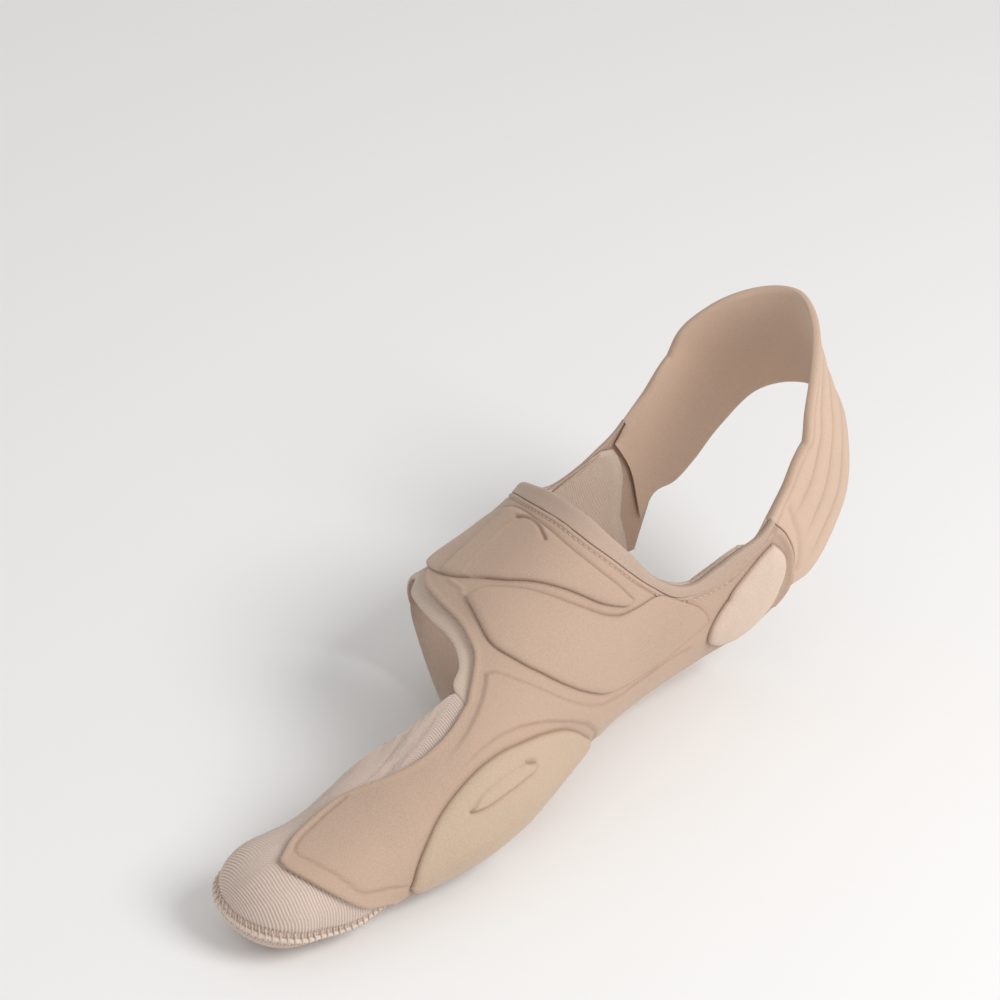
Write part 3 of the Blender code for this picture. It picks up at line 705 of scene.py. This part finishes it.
def beside_hem(rows, gap):
    """The line at a gap from the sewn edge in the hem's rows, on the panel's side."""
    return pushed(rows[:, 2:], 2 * rows[:, 2:] - rows[:, :2], gap)


def panel_edges():
    """Front and back edge of the panel without its toe strip, and the front's corner spot."""
    sewn = beside_hem(curve(HEM_HALF, PANEL_HEM_INNER), SEWN_GAP)
    outer_hem = mirrored(beside_hem(curve(HEM_HALF, PANEL_HEM_OUTER), SEWN_GAP))[1:]
    joint = curve(STRAP_JOINT, JOINT_PER_ROW)[::-1]
    lower = np.vstack([curve(LOWER_BACK[::-1], 3), joint[:1]])
    outer_end = joined([other_side(joint), other_side(lower)], PANEL_OUTER_STEPS)
    back = np.vstack([joined([lower, joint], PANEL_JOINT_STEPS)[:-1], sewn[::-1], outer_hem,
                      outer_end])
    neck_station, neck_top, _, neck_low = TOE_STRIP[-1]
    neck = [(neck_station, turn) for turn in (neck_low, *NECK_TURNS, neck_top)]
    over = curve([neck[-1]] + PANEL_FRONT, 8)
    rise = np.vstack([neck[2:4], stretch(over, *RISE_TURNS)])
    fall = np.vstack([rise[-1:], over[over[:, 1] <= RISE_TURNS[0]]])
    front = joined([neck[:2], neck[1:3], rise, fall],
                   (*PANEL_JOINT_STEPS, len(sewn) - 1, len(outer_hem) + len(outer_end)))
    corner = int(np.argmin(np.linalg.norm((front - neck[-1]) * [1, 0.3], axis=1)))
    front[corner] = neck[-1]
    return front, back, corner


def toe_strip_rows(last):
    """Rows of the panel's strip along the big toe, from its end to the row last on the panel."""
    share = (last[0, 1] - last[:, 1]) / (last[0, 1] - last[-1, 1])
    strip = curve(TOE_STRIP, STRIP_PER_ROW)
    rows = []
    for top_station, top_turn, low_station, low_turn in strip:
        rows.append(np.stack([low_station + share * (top_station - low_station),
                              low_turn + share * (top_turn - low_turn)], -1))
    end = curve([tuple(strip[0, :2])] + TOE_STRIP_END + [tuple(strip[0, 2:])], 10)[::-1]
    end_share = (end[0, 1] - end[:, 1]) / (end[0, 1] - end[-1, 1])
    tip_row = np.stack([np.interp(share, end_share, end[:, 0]),
                        np.interp(share, end_share, end[:, 1])], -1)
    for k in range(STRIP_PER_ROW):
        weight = (1 - k / STRIP_PER_ROW) ** 1.5
        rows[k] = weight * tip_row + (1 - weight) * rows[k]
    rows[-1] = last
    near_tip = [rows[0] + part * (rows[1] - rows[0]) for part in (0.12, 0.35, 0.65)]
    grid = np.array([rows[0]] + near_tip + rows[1:])
    near_low = [grid[:, :1] + part * (grid[:, 1:2] - grid[:, :1]) for part in (0.2, 0.5)]
    return np.concatenate([grid[:, :1], *near_low, grid[:, 1:]], axis=1)


def outer_panel():
    """Moulded panel from the big toe over the inner side and the instep to the strap."""
    front, back, corner = panel_edges()
    cloth = Cloth()
    cloth.add(crisp_sides(between(front, back, shares(PANEL_ROWS))))
    cloth.add(toe_strip_rows(front[:corner + 1]))
    spots, places, edge = cloth.net()
    height, shade = panel_relief(spots, places)
    height += 0.25 * MM * dip(edge - 1.0 * MM, 0.8 * MM)
    sewn = curve(HEM_HALF, PANEL_HEM_INNER)[:, 2:]
    joint = curve(STRAP_JOINT, JOINT_PER_ROW)[::-1]
    seamed = np.full(len(places), FAR)
    for line in (np.vstack([other_side(sewn), sewn]), joint, mirrored(joint)):
        seamed = np.minimum(seamed, distance_to(places, skin(*line.T)))
    loose = ease(0.8 * MM, 2.5 * MM, seamed)
    rounding = SEWN_ROUND + (EDGE_ROUND - SEWN_ROUND) * loose
    height -= rounding * (1 - quarter(edge, rounding)) + 0.12 * MM * unevenness(places)
    shade += (0.15 + 0.35 * loose) * dip(edge, 0.25 * MM)
    return cloth.build("panel_cloth", PANEL_LOW, PANEL_TOP + height, shade)


def inner_sleeve():
    """Base knit round the middle of the foot, open for the small toes, the heel and the ankle."""
    joint = curve(STRAP_JOINT, 3) + [STRAP_LAP + KNIT_LAP_GAP, 0.0]
    free = curve(HEM_HALF, 12)[:, :2]
    free = np.vstack([free[free[:, 0] > joint[0, 0] + 1], joint[:1]])
    lower = curve([tuple(joint[-1])] + SLEEVE_LOWER + SOLE_BACK, 6)
    wrap = np.array([0, 360])
    back = joined([free, joint, lower, other_side(lower) + wrap, other_side(joint) + wrap,
                   other_side(free) + wrap], SLEEVE_STEPS, closed=True)
    front = curve(SLEEVE_FRONT + [(TOE_JOINT, turn) for turn in TOE_JOINT_TURNS], 8)
    sole = curve([(TOE_JOINT, TOE_JOINT_TURNS[-1])] + SLEEVE_SOLE + [(54.3, 360)], 8)
    loop = np.vstack([front[:-1], sole])
    parts = [stretch(loop, low, high) for low, high in
             ((89, 166), (166, 196), (196, 270), (270, 345))]
    parts.append(np.vstack([stretch(loop, 345, 360), stretch(loop, 0.1, 10) + wrap]))
    parts.append(stretch(loop, 10, 89) + wrap)
    for before, after in zip(parts, parts[1:]):
        before[-1] = after[0]
    parts[-1][-1] = parts[0][0] + wrap
    front = joined(parts, SLEEVE_STEPS, closed=True)
    front = pushed(front, back, GAP)
    cloth = Cloth()
    cloth.add(between(front, back, shares(SLEEVE_ROWS)), closed=True)
    spots, places, edge = cloth.net()
    height = 0.2 * MM * dip(edge - 1.4 * MM, 1.0 * MM) + 0.1 * MM * unevenness(places)
    height -= 0.5 * MM * (1 - quarter(edge, 0.6 * MM))
    return cloth.build("sleeve_knit", 0.0, KNIT_WALL + height, 0.3 * dip(edge, 0.3 * MM))


def length_along():
    """Mean length of the skin up to each station, over the toe end."""
    span = 100 - REACH_FROM
    stations = 100 - span * np.linspace(1, math.sqrt((100 - CAP_TIP) / span), REACH_STEPS) ** 2
    turns = np.arange(0, 360, 15.0)
    steps = [np.linalg.norm(np.diff(skin(stations, np.full(len(stations), turn)), axis=0), axis=1)
             for turn in turns]
    return stations, np.append(0, np.cumsum(np.mean(steps, 0)))


def toe_cap():
    """Ribbed knit cap, closed over the tip of the big toe."""
    turns = np.arange(0, 360, 360 / CAP_COLUMNS)
    around = np.array(CAP_BACK + [(360, CAP_BACK[0][1])], float)
    start = np.interp(turns, around[:, 0], around[:, 1])
    stations, reach = length_along()
    first = np.interp(start, stations, reach)
    rows = []
    for share in shares(CAP_ROWS, (0.001, 0.0025)):
        at = first + share * (reach[-1] - first)
        rows.append(np.stack([np.interp(at, reach, stations), turns], -1))
    rows[-1][:, 0] = CAP_TIP
    cloth = Cloth()
    numbers = cloth.add(rows, closed=True, every=10)
    spots, places, edge = cloth.net()
    edge = np.where(spots[:, 0] > CAP_EDGE_TO, FAR, edge)
    along = np.interp(spots[:, 0], stations, reach)
    turn = np.radians(spots[:, 1])
    wave = 0.35 * MM * np.sin(3 * turn + along / (9 * MM)) + 0.12 * MM * np.sin(11 * turn)
    wave *= 1 - ease(*WAVE_FADE, spots[:, 0])
    rib = np.cos(2 * math.pi * (along + wave) / CAP_RIB)
    calm = 1 - ease(*RIB_FADE, spots[:, 0])
    sewn = seam_spots(60)
    seam = distance_to(places, skin(*sewn.T))
    height = CAP_RIB_DEPTH * rib * calm + 0.15 * MM * unevenness(places)
    height -= 0.25 * MM * dip(seam - STITCH_REACH, 0.6 * MM)
    height -= 0.5 * MM * (1 - quarter(edge, 0.6 * MM))
    shade = 0.34 * (1 - rib) * calm + 0.3 * dip(seam - STITCH_REACH, 0.7 * MM)
    return cloth.build("toe_cap_knit", 0.0, KNIT_WALL + height, shade, tip=numbers[-1])


def ankle_hem():
    """Turned hem along the free edge of the ankle opening."""
    rows = curve(hem_rows(), HEM_PER_ROW)
    cloth = Cloth()
    share = shares(HEM_ROWS, (0.02, 0.05, 0.09))
    cloth.add(crisp_sides(between(rows[:, :2], rows[:, 2:], share)), every=5)
    spots, places, edge = cloth.net()
    free = distance_to(places, skin(*rows[::6, :2].T))
    height = 0.25 * MM - 0.3 * MM * (1 - quarter(edge, 0.3 * MM))
    height -= 0.7 * MM * (1 - quarter(free, 0.9 * MM))
    height += 0.1 * MM * dip(free - 1.6 * MM, 1.0 * MM) + 0.1 * MM * unevenness(places)
    return cloth.build("hem_cloth", PANEL_LOW, PANEL_TOP + height, 0.35 * dip(edge, 0.2 * MM))


def pad_cloth(table, across, per_row):
    """The net of a pad between its two edges, with its spots, places and rim distance."""
    rows = curve(table, per_row)
    cloth = Cloth()
    cloth.add(between(rows[:, :2], rows[:, 2:], shares(across, (0.008, 0.02, 0.035))), every=8)
    spots = np.array(cloth.spots)
    places = skin(*spots.T)
    rim = distance_to(places, outline_of(table, 8))
    return cloth, spots, places, rim


def instep_cushion():
    """Moulded field over the instep, with a recessed place on its top."""
    cloth, spots, places, rim = pad_cloth(INSTEP_CUSHION, 84, 24)
    height = 0.15 * MM + 1.25 * MM * quarter(rim, 2.2 * MM) + 0.2 * MM * ease(0, 8 * MM, rim)
    box = depth_in(spots, places, BOX)
    kept = 1 - ease(*BOX_FADE, spots[:, 1])
    height -= 0.5 * MM * ease(-0.4 * MM, 0.8 * MM, box) * kept
    shade = 0.5 * dip(rim, 0.35 * MM) + 0.35 * dip(box, 0.6 * MM) * kept
    press = np.array(INSTEP_PRESS)
    past = spots[:, 1] < np.interp(spots[:, 0], press[:, 0], press[:, 1])
    line = distance_to(places, trace(INSTEP_PRESS, 6))
    height *= 1 - 0.7 * ease(-0.4 * MM, 0.6 * MM, np.where(past, line, -line))
    for table, width, depth in [(BOX_GROOVE, 0.6, 0.8), (INSTEP_PRESS, 0.5, 0.35)]:
        line = distance_to(places, trace(table, 6))
        height -= depth * MM * dip(line, width * MM)
        shade = shade + 0.7 * dip(line, width * MM)
    return cloth.build("instep_cushion_cloth", PAD_BASE, PANEL_TOP + height, shade)


def side_cushion():
    """Moulded field along the inner side, lower towards the heel."""
    cloth, spots, places, rim = pad_cloth(SIDE_CUSHION, 90, 22)
    full = 0.2 + 0.8 * ease(38, 50, spots[:, 0])
    shoulder = 2.2 * MM + 2.5 * MM * (1 - ease(38, 50, spots[:, 0]))
    height = 0.15 * MM + 1.35 * MM * full * quarter(rim, shoulder)
    height += 0.25 * MM * ease(0, 9 * MM, rim)
    shade = 0.55 * full * dip(rim, 0.35 * MM)
    return cloth.build("side_cushion_cloth", PAD_BASE, PANEL_TOP + height, shade)


def bunion_pad():
    """Domed pad over the ball joint with a raised tongue."""
    cloth, spots, places, rim = pad_cloth(BUNION_PAD, 120, 26)
    height = 0.2 * MM + 1.5 * MM * quarter(rim, 2.4 * MM) + 1.7 * MM * ease(0, 14 * MM, rim)
    crisp = distance_to(places, trace(TONGUE[:TONGUE_CRISP], 8))
    flap = ease(-0.25 * MM, 0.25 * MM, depth_in(spots, places, curve(TONGUE + TONGUE[:1], 6)[:-1]))
    height += 0.9 * MM * flap * (1 - ease(0.6 * MM, 5.5 * MM, crisp))
    height -= 0.5 * MM * dip(crisp, 0.8 * MM) * (1 - flap)
    shade = 0.5 * dip(rim, 0.35 * MM) + 0.8 * dip(crisp, 0.45 * MM)
    return cloth.build("bunion_pad_cloth", PAD_BASE, PANEL_TOP + height, shade)


def heel_pad():
    """Drop-shaped pad beside the joint of the panel with the strap."""
    cloth, spots, places, rim = pad_cloth(HEEL_PAD, 60, 24)
    height = 0.25 * MM + 1.5 * MM * quarter(rim, 2.6 * MM) + 1.0 * MM * ease(0, 8 * MM, rim)
    shade = 0.5 * dip(rim, 0.35 * MM)
    return cloth.build("heel_pad_cloth", PAD_BASE, PANEL_TOP + height, shade)


def fit_to_joint(grid):
    """Moves the strap's rows so that one at each end lies along its joint with the panel."""
    joint = curve(STRAP_JOINT, JOINT_PER_ROW)
    at = STRAP_PER_ROW
    shift = np.interp(grid[:, at, 1], joint[:, 1], joint[:, 0]) - grid[:, at, 0]
    for column in range(3 * at):
        share = 1 - abs(column - at) / (2 * at)
        grid[:, column, 0] += share * shift
        grid[:, -1 - column, 0] += share * shift


def beyond_joint(spots, places):
    """How far each spot of the strap lies behind its joint with the panel, negative under it."""
    joint = curve(STRAP_JOINT, JOINT_PER_ROW)
    turn = np.where(spots[:, 1] > BOTTOM, 2 * BOTTOM - spots[:, 1], spots[:, 1])
    behind = spots[:, 0] < np.interp(turn, joint[:, 1], joint[:, 0])
    inner = distance_to(places, skin(*joint.T))
    outer = distance_to(places, skin(*mirrored(joint).T))
    gap = np.minimum(inner, outer)
    return np.where(behind, gap, -gap)


def heel_strap():
    """Ribbed elastic strap round the back of the leg, tucked under the panel at both ends."""
    rows = curve(strap_rows(), STRAP_PER_ROW)
    cloth = Cloth()
    share = shares(STRAP_COLUMNS, (0.006, 0.016, 0.03))
    grid = between(rows[:, :2], rows[:, 2:], share)
    fit_to_joint(grid)
    numbers = cloth.add(crisp_sides(grid), every=5)
    spots, places, edge = cloth.net()
    across = np.zeros(len(spots))
    for row, part in zip(numbers, share):
        across[row] = part
    upper = distance_to(places, skin(*rows[::6, :2].T))
    beyond = beyond_joint(spots, places)
    free = ease(0.0, 0.35 * MM, beyond)
    ribbed = ease(2 * MM, 14 * MM, beyond)
    rib = np.abs(np.sin(math.pi * STRAP_RIBS * across)) ** 0.8
    height = STRAP_RIB_DEPTH * (rib - 0.6) * ribbed
    height += 0.4 * MM * dip(upper - 1.0 * MM, 0.8 * MM) * ribbed
    height -= 0.4 * MM * dip(upper - 2.6 * MM, 0.5 * MM) * free
    crease = distance_to(places, trace(STRAP_CREASE))
    height += 0.12 * MM * unevenness(places) - 0.5 * MM * dip(crease, 1.2 * MM) * free
    height -= 0.7 * MM * (1 - quarter(edge, 0.8 * MM))
    flush = PANEL_TOP + (STRAP_WALL - PANEL_TOP) * ease(0, 18 * MM, beyond)
    wall = KNIT_WALL + (flush - KNIT_WALL) * free
    shade = 0.5 * (1 - rib) ** 2 * ribbed + 0.25 * dip(crease, 0.8 * MM) * free
    shade += 0.4 * dip(upper - 2.6 * MM, 0.4 * MM) * free
    return cloth.build("strap_elastic", 0.0, wall + height, shade)


def tube(line, radius, sides, out):
    """Places and faces of a tube with closed ends along a line of points."""
    ahead = np.gradient(line, axis=0)
    ahead /= np.linalg.norm(ahead, axis=1)[:, None]
    side = np.cross(ahead, out)
    side /= np.linalg.norm(side, axis=1)[:, None]
    over = np.cross(side, ahead)
    corners = np.radians(np.arange(0, 360, 360 / sides))
    radius = np.broadcast_to(radius, len(line))
    places = [point + r * (math.cos(a) * o + math.sin(a) * s)
              for point, o, s, r in zip(line, over, side, radius) for a in corners]
    faces = []
    for row in range(len(line) - 1):
        for i in range(sides):
            j = (i + 1) % sides
            low = row * sides
            faces.append([low + i, low + j, low + sides + j, low + sides + i])
    faces.append(list(range(sides)))
    faces.append([len(places) - 1 - i for i in range(sides)])
    return places, faces


def gathered(tubes):
    """Many tubes as one list of places and one of faces."""
    places, faces = [], []
    for some_places, some_faces in tubes:
        faces += [[len(places) + i for i in face] for face in some_faces]
        places += some_places
    return places, faces


def seam_spots(points):
    """Spots of the seam from the inner side over the tip to the outer side, closer at the tip."""
    reach = np.linspace(1, 0.004, points)
    sides = []
    for table in (SEAM_INNER, SEAM_OUTER):
        stations, turns = np.array(table).T
        at = 100 - (100 - stations[0]) * reach ** 2
        sides.append(np.stack([at, np.interp(at, stations, turns)], -1))
    return np.vstack([sides[0], sides[1][::-1]])


def toe_seam():
    """Overlock ridge along the toe cap's lower front."""
    spots = evenly(seam_spots(90), 260)
    line = lifted(spots, SEAM_LIFT)
    out = outward(*spots.T)
    swell = 1 + 0.08 * np.sin(np.arange(len(line)) * 2 * math.pi / 3.4)
    places, faces = tube(line, SEAM_RADIUS * swell, 14, out)
    return add_object("toe_seam_ridge", places, faces)


def seam_stitches():
    """Overlock threads, each over the ridge and a little way up the cap."""
    spots = evenly(seam_spots(90), 900)
    line = lifted(spots, SEAM_LIFT)
    out = outward(*spots.T)
    ahead = np.gradient(line, axis=0)
    step = np.linalg.norm(ahead, axis=1)
    ahead /= step[:, None]
    side = np.cross(ahead, out)
    side /= np.linalg.norm(side, axis=1)[:, None]
    reach = np.append(0, np.cumsum(step[1:]))
    radius = SEAM_RADIUS + 0.6 * STITCH_THREAD
    bend = np.radians(np.linspace(-95, 60, 8))
    profile = [(1.2 * radius * math.sin(a), radius * math.cos(a)) for a in bend]
    profile += [(up, 0.1 * MM - up * up / (26 * MM)) for up in (1.4 * MM, 1.9 * MM, STITCH_REACH)]
    profile.append((STITCH_REACH + 0.2 * MM, -0.6 * MM))
    tubes = []
    for k in range(int(reach[-1] / SEAM_PITCH) - 1):
        i = int(np.searchsorted(reach, (k + 0.8) * SEAM_PITCH))
        loop = np.array([line[i] + up * side[i] + off * out[i]
                         + 0.35 * SEAM_PITCH * up / STITCH_REACH * ahead[i] for up, off in profile])
        around = np.repeat(out[i:i + 1] + 0.2 * side[i:i + 1], len(profile), axis=0)
        tubes.append(tube(loop, STITCH_THREAD * 1.3, 6, around))
    places, faces = gathered(tubes)
    return add_object("toe_seam_stitches", places, faces)


def hem_stitches():
    """Fine stitches in the groove under the hem."""
    spots = evenly(beside_hem(curve(hem_rows(), 24), HEM_GROOVE), 1400)
    line = lifted(spots, PANEL_TOP - 0.22 * MM)
    out = outward(*spots.T)
    reach = np.append(0, np.cumsum(np.linalg.norm(np.diff(line, axis=0), axis=1)))
    shares_along, rises = np.array(HEM_STITCH).T
    tubes = []
    for k in range(2, int(reach[-1] / HEM_PITCH) - 2):
        marks = (k + shares_along) * HEM_PITCH
        places = np.stack([np.interp(marks, reach, line[:, axis]) for axis in range(3)], -1)
        normal = np.stack([np.interp(marks, reach, out[:, axis]) for axis in range(3)], -1)
        places = places + normal * (rises * MM)[:, None]
        tubes.append(tube(places, STITCH_THREAD, 6, normal))
    places, faces = gathered(tubes)
    return add_object("hem_stitches", places, faces)


def plug(tree, socket, value):
    """Give an input another node's output, a colour or a number."""
    if isinstance(value, bpy.types.NodeSocket):
        tree.links.new(value, socket)
    elif isinstance(value, tuple):
        socket.default_value = (*value, 1.0)
    else:
        socket.default_value = value


def node(tree, kind, **inputs):
    """A shader node with some of its inputs set, by name, to a value or another node's output."""
    made = tree.nodes.new(kind)
    for key, value in inputs.items():
        plug(tree, made.inputs[key.replace("_", " ")], value)
    return made


def mixed(tree, factor, first, second):
    """The colour output of a colour mix."""
    made = tree.nodes.new("ShaderNodeMix")
    made.data_type = "RGBA"
    for number, value in ((0, factor), (6, first), (7, second)):
        plug(tree, made.inputs[number], value)
    return made.outputs[2]


def math_node(tree, operation, first, second=0.0):
    """The output of a Math node."""
    made = tree.nodes.new("ShaderNodeMath")
    made.operation = operation
    for socket, value in zip(made.inputs, (first, second)):
        plug(tree, socket, value)
    return made.outputs[0]


def ranged(tree, value, low, high, to_low=0.0, to_high=1.0):
    """A value mapped from one range to another, clamped."""
    made = node(tree, "ShaderNodeMapRange", Value=value)
    made.inputs["From Min"].default_value = low
    made.inputs["From Max"].default_value = high
    made.inputs["To Min"].default_value = to_low
    made.inputs["To Max"].default_value = to_high
    return made.outputs["Result"]


def cloth_material(name, light, dark, painted_shade_colour, grain, ribs=None, roughness=0.85, sheen=0.25):
    """Cloth with a fine mottle, slow changes of tone, painted shade in grooves and, if given, ribs.

    light and dark are the mottle's colours, the third colour the painted shade put into grooves,
    rims, edges and rib troughs, grain the size of the mottle in metres, ribs the pitch of knitted
    ribs along the foot in metres.
    """
    material = bpy.data.materials.new(name)
    material.use_nodes = True
    tree = material.node_tree
    shader = tree.nodes["Principled BSDF"]
    place = tree.nodes.new("ShaderNodeTexCoord").outputs["Object"]
    speckle = node(tree, "ShaderNodeTexNoise", Vector=place, Scale=1 / grain, Detail=2.0,
                   Roughness=0.6).outputs["Fac"]
    threads = node(tree, "ShaderNodeTexVoronoi", Vector=place, Scale=1.3 / grain,
                   Randomness=0.75).outputs["Distance"]
    tone = node(tree, "ShaderNodeTexNoise", Vector=place, Scale=45.0, Detail=3.0).outputs["Fac"]
    mottle = ranged(tree, speckle, 0.33, 0.67)
    colour = mixed(tree, mottle, dark, light)
    warm = tuple(c * k for c, k in zip(light, (1.03, 0.99, 0.95)))
    colour = mixed(tree, ranged(tree, tone, 0.35, 0.65, 0.0, 0.35), colour, warm)
    height = math_node(tree, "ADD", math_node(tree, "MULTIPLY", mottle, 0.6),
                       math_node(tree, "MULTIPLY", threads, 0.5))
    if ribs:
        along = node(tree, "ShaderNodeAttribute")
        along.attribute_name = "along"
        bend = node(tree, "ShaderNodeTexNoise", Vector=place, Scale=90.0,
                    Detail=1.0).outputs["Fac"]
        metres = math_node(tree, "MULTIPLY", along.outputs["Fac"], FOOT_LENGTH / 100)
        metres = math_node(tree, "ADD", metres, math_node(tree, "MULTIPLY", bend, 0.0012))
        wave = math_node(tree, "SINE", math_node(tree, "MULTIPLY", metres, 2 * math.pi / ribs))
        wave = math_node(tree, "ADD", math_node(tree, "MULTIPLY", wave, 0.5), 0.5)
        # painted shade: the rib troughs are darkened towards the shade colour
        colour = mixed(tree, math_node(tree, "MULTIPLY", wave, 0.2), colour, painted_shade_colour)
        height = math_node(tree, "SUBTRACT", height, math_node(tree, "MULTIPLY", wave, 0.8))
    # painted shade: the shade attribute darkens grooves, rims, creases and edges towards the shade
    # colour
    shade = node(tree, "ShaderNodeAttribute")
    shade.attribute_name = "shade"
    groove = ranged(tree, shade.outputs["Fac"], 0.0, 1.0, 0.0, 0.75)
    colour = mixed(tree, groove, colour, painted_shade_colour)
    tree.links.new(colour, shader.inputs["Base Color"])
    bump = node(tree, "ShaderNodeBump", Height=height)
    bump.inputs["Strength"].default_value = 0.55
    bump.inputs["Distance"].default_value = 0.00012
    tree.links.new(bump.outputs["Normal"], shader.inputs["Normal"])
    shader.inputs["Roughness"].default_value = roughness
    shader.inputs["Specular IOR Level"].default_value = 0.25
    shader.inputs["Sheen Weight"].default_value = sheen
    shader.inputs["Sheen Roughness"].default_value = 0.45
    shader.inputs["Sheen Tint"].default_value = (1.0, 0.93, 0.86, 1.0)
    return material


# Each cloth: light and dark mottle colours, then the colour of the painted shade in grooves, rims,
# edges and rib troughs
MATERIALS = {
    "panel": cloth_material("moulded_microfibre", (0.550, 0.402, 0.312), (0.465, 0.335, 0.256),
                            (0.27, 0.165, 0.115), 0.4 * MM),
    "hem": cloth_material("hem_microfibre", (0.530, 0.400, 0.325), (0.460, 0.342, 0.275),
                          (0.27, 0.17, 0.12), 0.4 * MM),
    "band": cloth_material("base_knit", (0.660, 0.535, 0.450), (0.590, 0.470, 0.390),
                           (0.42, 0.31, 0.24), 0.4 * MM, ribs=0.7 * MM),
    "cap": cloth_material("rib_knit", (0.760, 0.635, 0.565), (0.680, 0.560, 0.490),
                          (0.36, 0.25, 0.195), 0.4 * MM, sheen=0.4, roughness=0.7),
    "pad": cloth_material("pad_cloth", (0.580, 0.445, 0.335), (0.490, 0.368, 0.272),
                          (0.29, 0.18, 0.115), 0.4 * MM),
    "heel": cloth_material("heel_pad_cloth", (0.715, 0.575, 0.475), (0.620, 0.490, 0.395),
                           (0.35, 0.235, 0.17), 0.45 * MM),
    "elastic": cloth_material("ribbed_elastic", (0.655, 0.488, 0.380), (0.575, 0.418, 0.318),
                              (0.35, 0.22, 0.15), 0.4 * MM),
    "thread": cloth_material("stitch_thread", (0.700, 0.570, 0.480), (0.600, 0.470, 0.385),
                             (0.45, 0.33, 0.26), 0.3 * MM, roughness=0.6),
}


def dress(piece, material, slot, *nodes):
    """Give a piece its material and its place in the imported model."""
    piece.data.materials.append(MATERIALS[material])
    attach(piece, "root")
    if nodes:
        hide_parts(*nodes)
    return piece


def dress_all():
    """Make every piece and give it its cloth."""
    sleeve = dress(inner_sleeve(), "band", "knit", "inner_sleeve")
    cap = dress(toe_cap(), "cap", "knit", "toe_cap")
    dress(toe_seam(), "cap", "knit", "toe_seam")
    dress(seam_stitches(), "thread", "knit")
    panel = dress(outer_panel(), "panel", "microfibre", "outer_panel")
    hem = dress(ankle_hem(), "hem", "microfibre", "ankle_hem")
    dress(hem_stitches(), "thread", "microfibre")
    strap = dress(heel_strap(), "elastic", "elastic", "heel_strap")
    pads = [
        dress(instep_cushion(), "panel", "microfibre", "instep_cushion"),
        dress(side_cushion(), "panel", "microfibre", "side_cushion"),
        dress(bunion_pad(), "pad", "pad_cloth", "bunion_pad"),
        dress(heel_pad(), "heel", "pad_cloth", "heel_pad"),
    ]


def area_light(name, direction, distance, size, power, colour):
    """A soft square lamp that looks at the part from a direction."""
    lamp = bpy.data.lights.new(name, "AREA")
    lamp.size = size
    lamp.energy = power
    lamp.color = colour
    item = bpy.data.objects.new(name, lamp)
    direction = Vector(direction).normalized()
    item.location = direction * distance
    item.rotation_mode = "QUATERNION"
    item.rotation_quaternion = direction.to_track_quat("Z", "Y")
    bpy.context.collection.objects.link(item)


def studio():
    """Pale floor, soft light all round and a large soft lamp from above."""
    low, _ = cad_box
    floor_mesh = bpy.data.meshes.new("floor")
    reach = 6.0
    height = low.z - 1.0 * MM
    floor_mesh.from_pydata([(-reach, -reach, height), (reach, -reach, height),
                            (reach, reach, height), (-reach, reach, height)], [], [[0, 1, 2, 3]])
    floor = bpy.data.objects.new("floor", floor_mesh)
    bpy.context.collection.objects.link(floor)
    paper = bpy.data.materials.new("pale_floor")
    paper.use_nodes = True
    paper.node_tree.nodes["Principled BSDF"].inputs["Base Color"].default_value = (0.9, 0.9, 0.9, 1)
    paper.node_tree.nodes["Principled BSDF"].inputs["Roughness"].default_value = 0.9
    floor_mesh.materials.append(paper)
    world = bpy.data.worlds.new("studio")
    world.use_nodes = True
    world.node_tree.nodes["Background"].inputs["Color"].default_value = (1.0, 0.99, 0.98, 1.0)
    world.node_tree.nodes["Background"].inputs["Strength"].default_value = 0.6
    bpy.context.scene.world = world
    area_light("key", (0.30, -0.80, 0.85), 1.2, 0.55, 8.0, (1.0, 0.985, 0.965))
    area_light("fill", (-0.9, -0.5, 0.6), 1.4, 0.9, 0.7, (0.97, 0.985, 1.0))


# The photograph's view: angles in degrees, the rest in metres and millimetres of lens
AZIMUTH = -39.3
ELEVATION = 35.1
ROLL = 1.0
DISTANCE = 0.862
AIM_RIGHT = -0.008
AIM_UP = 0.0638
LENS = 104.8


def camera():
    """The camera where the photograph was taken from."""
    turn, lift, roll = (math.radians(angle) for angle in (AZIMUTH, ELEVATION, ROLL))
    back = Vector((math.sin(turn) * math.cos(lift), -math.cos(turn) * math.cos(lift),
                   math.sin(lift)))
    right = Vector((math.cos(turn), math.sin(turn), 0))
    up = back.cross(right)
    right, up = (math.cos(roll) * right + math.sin(roll) * up,
                 math.cos(roll) * up - math.sin(roll) * right)
    item = bpy.data.objects.new("camera", bpy.data.cameras.new("camera"))
    item.data.lens = LENS
    item.data.sensor_width = 36.0
    item.data.clip_start = 0.01
    item.data.clip_end = 50.0
    place = DISTANCE * back + AIM_RIGHT * right + AIM_UP * up
    item.matrix_world = Matrix((
        (right.x, up.x, back.x, place.x),
        (right.y, up.y, back.y, place.y),
        (right.z, up.z, back.z, place.z),
        (0, 0, 0, 1),
    ))
    bpy.context.collection.objects.link(item)
    bpy.context.scene.camera = item


camera()
dress_all()
studio()
bpy.context.scene.view_settings.view_transform = "Standard"
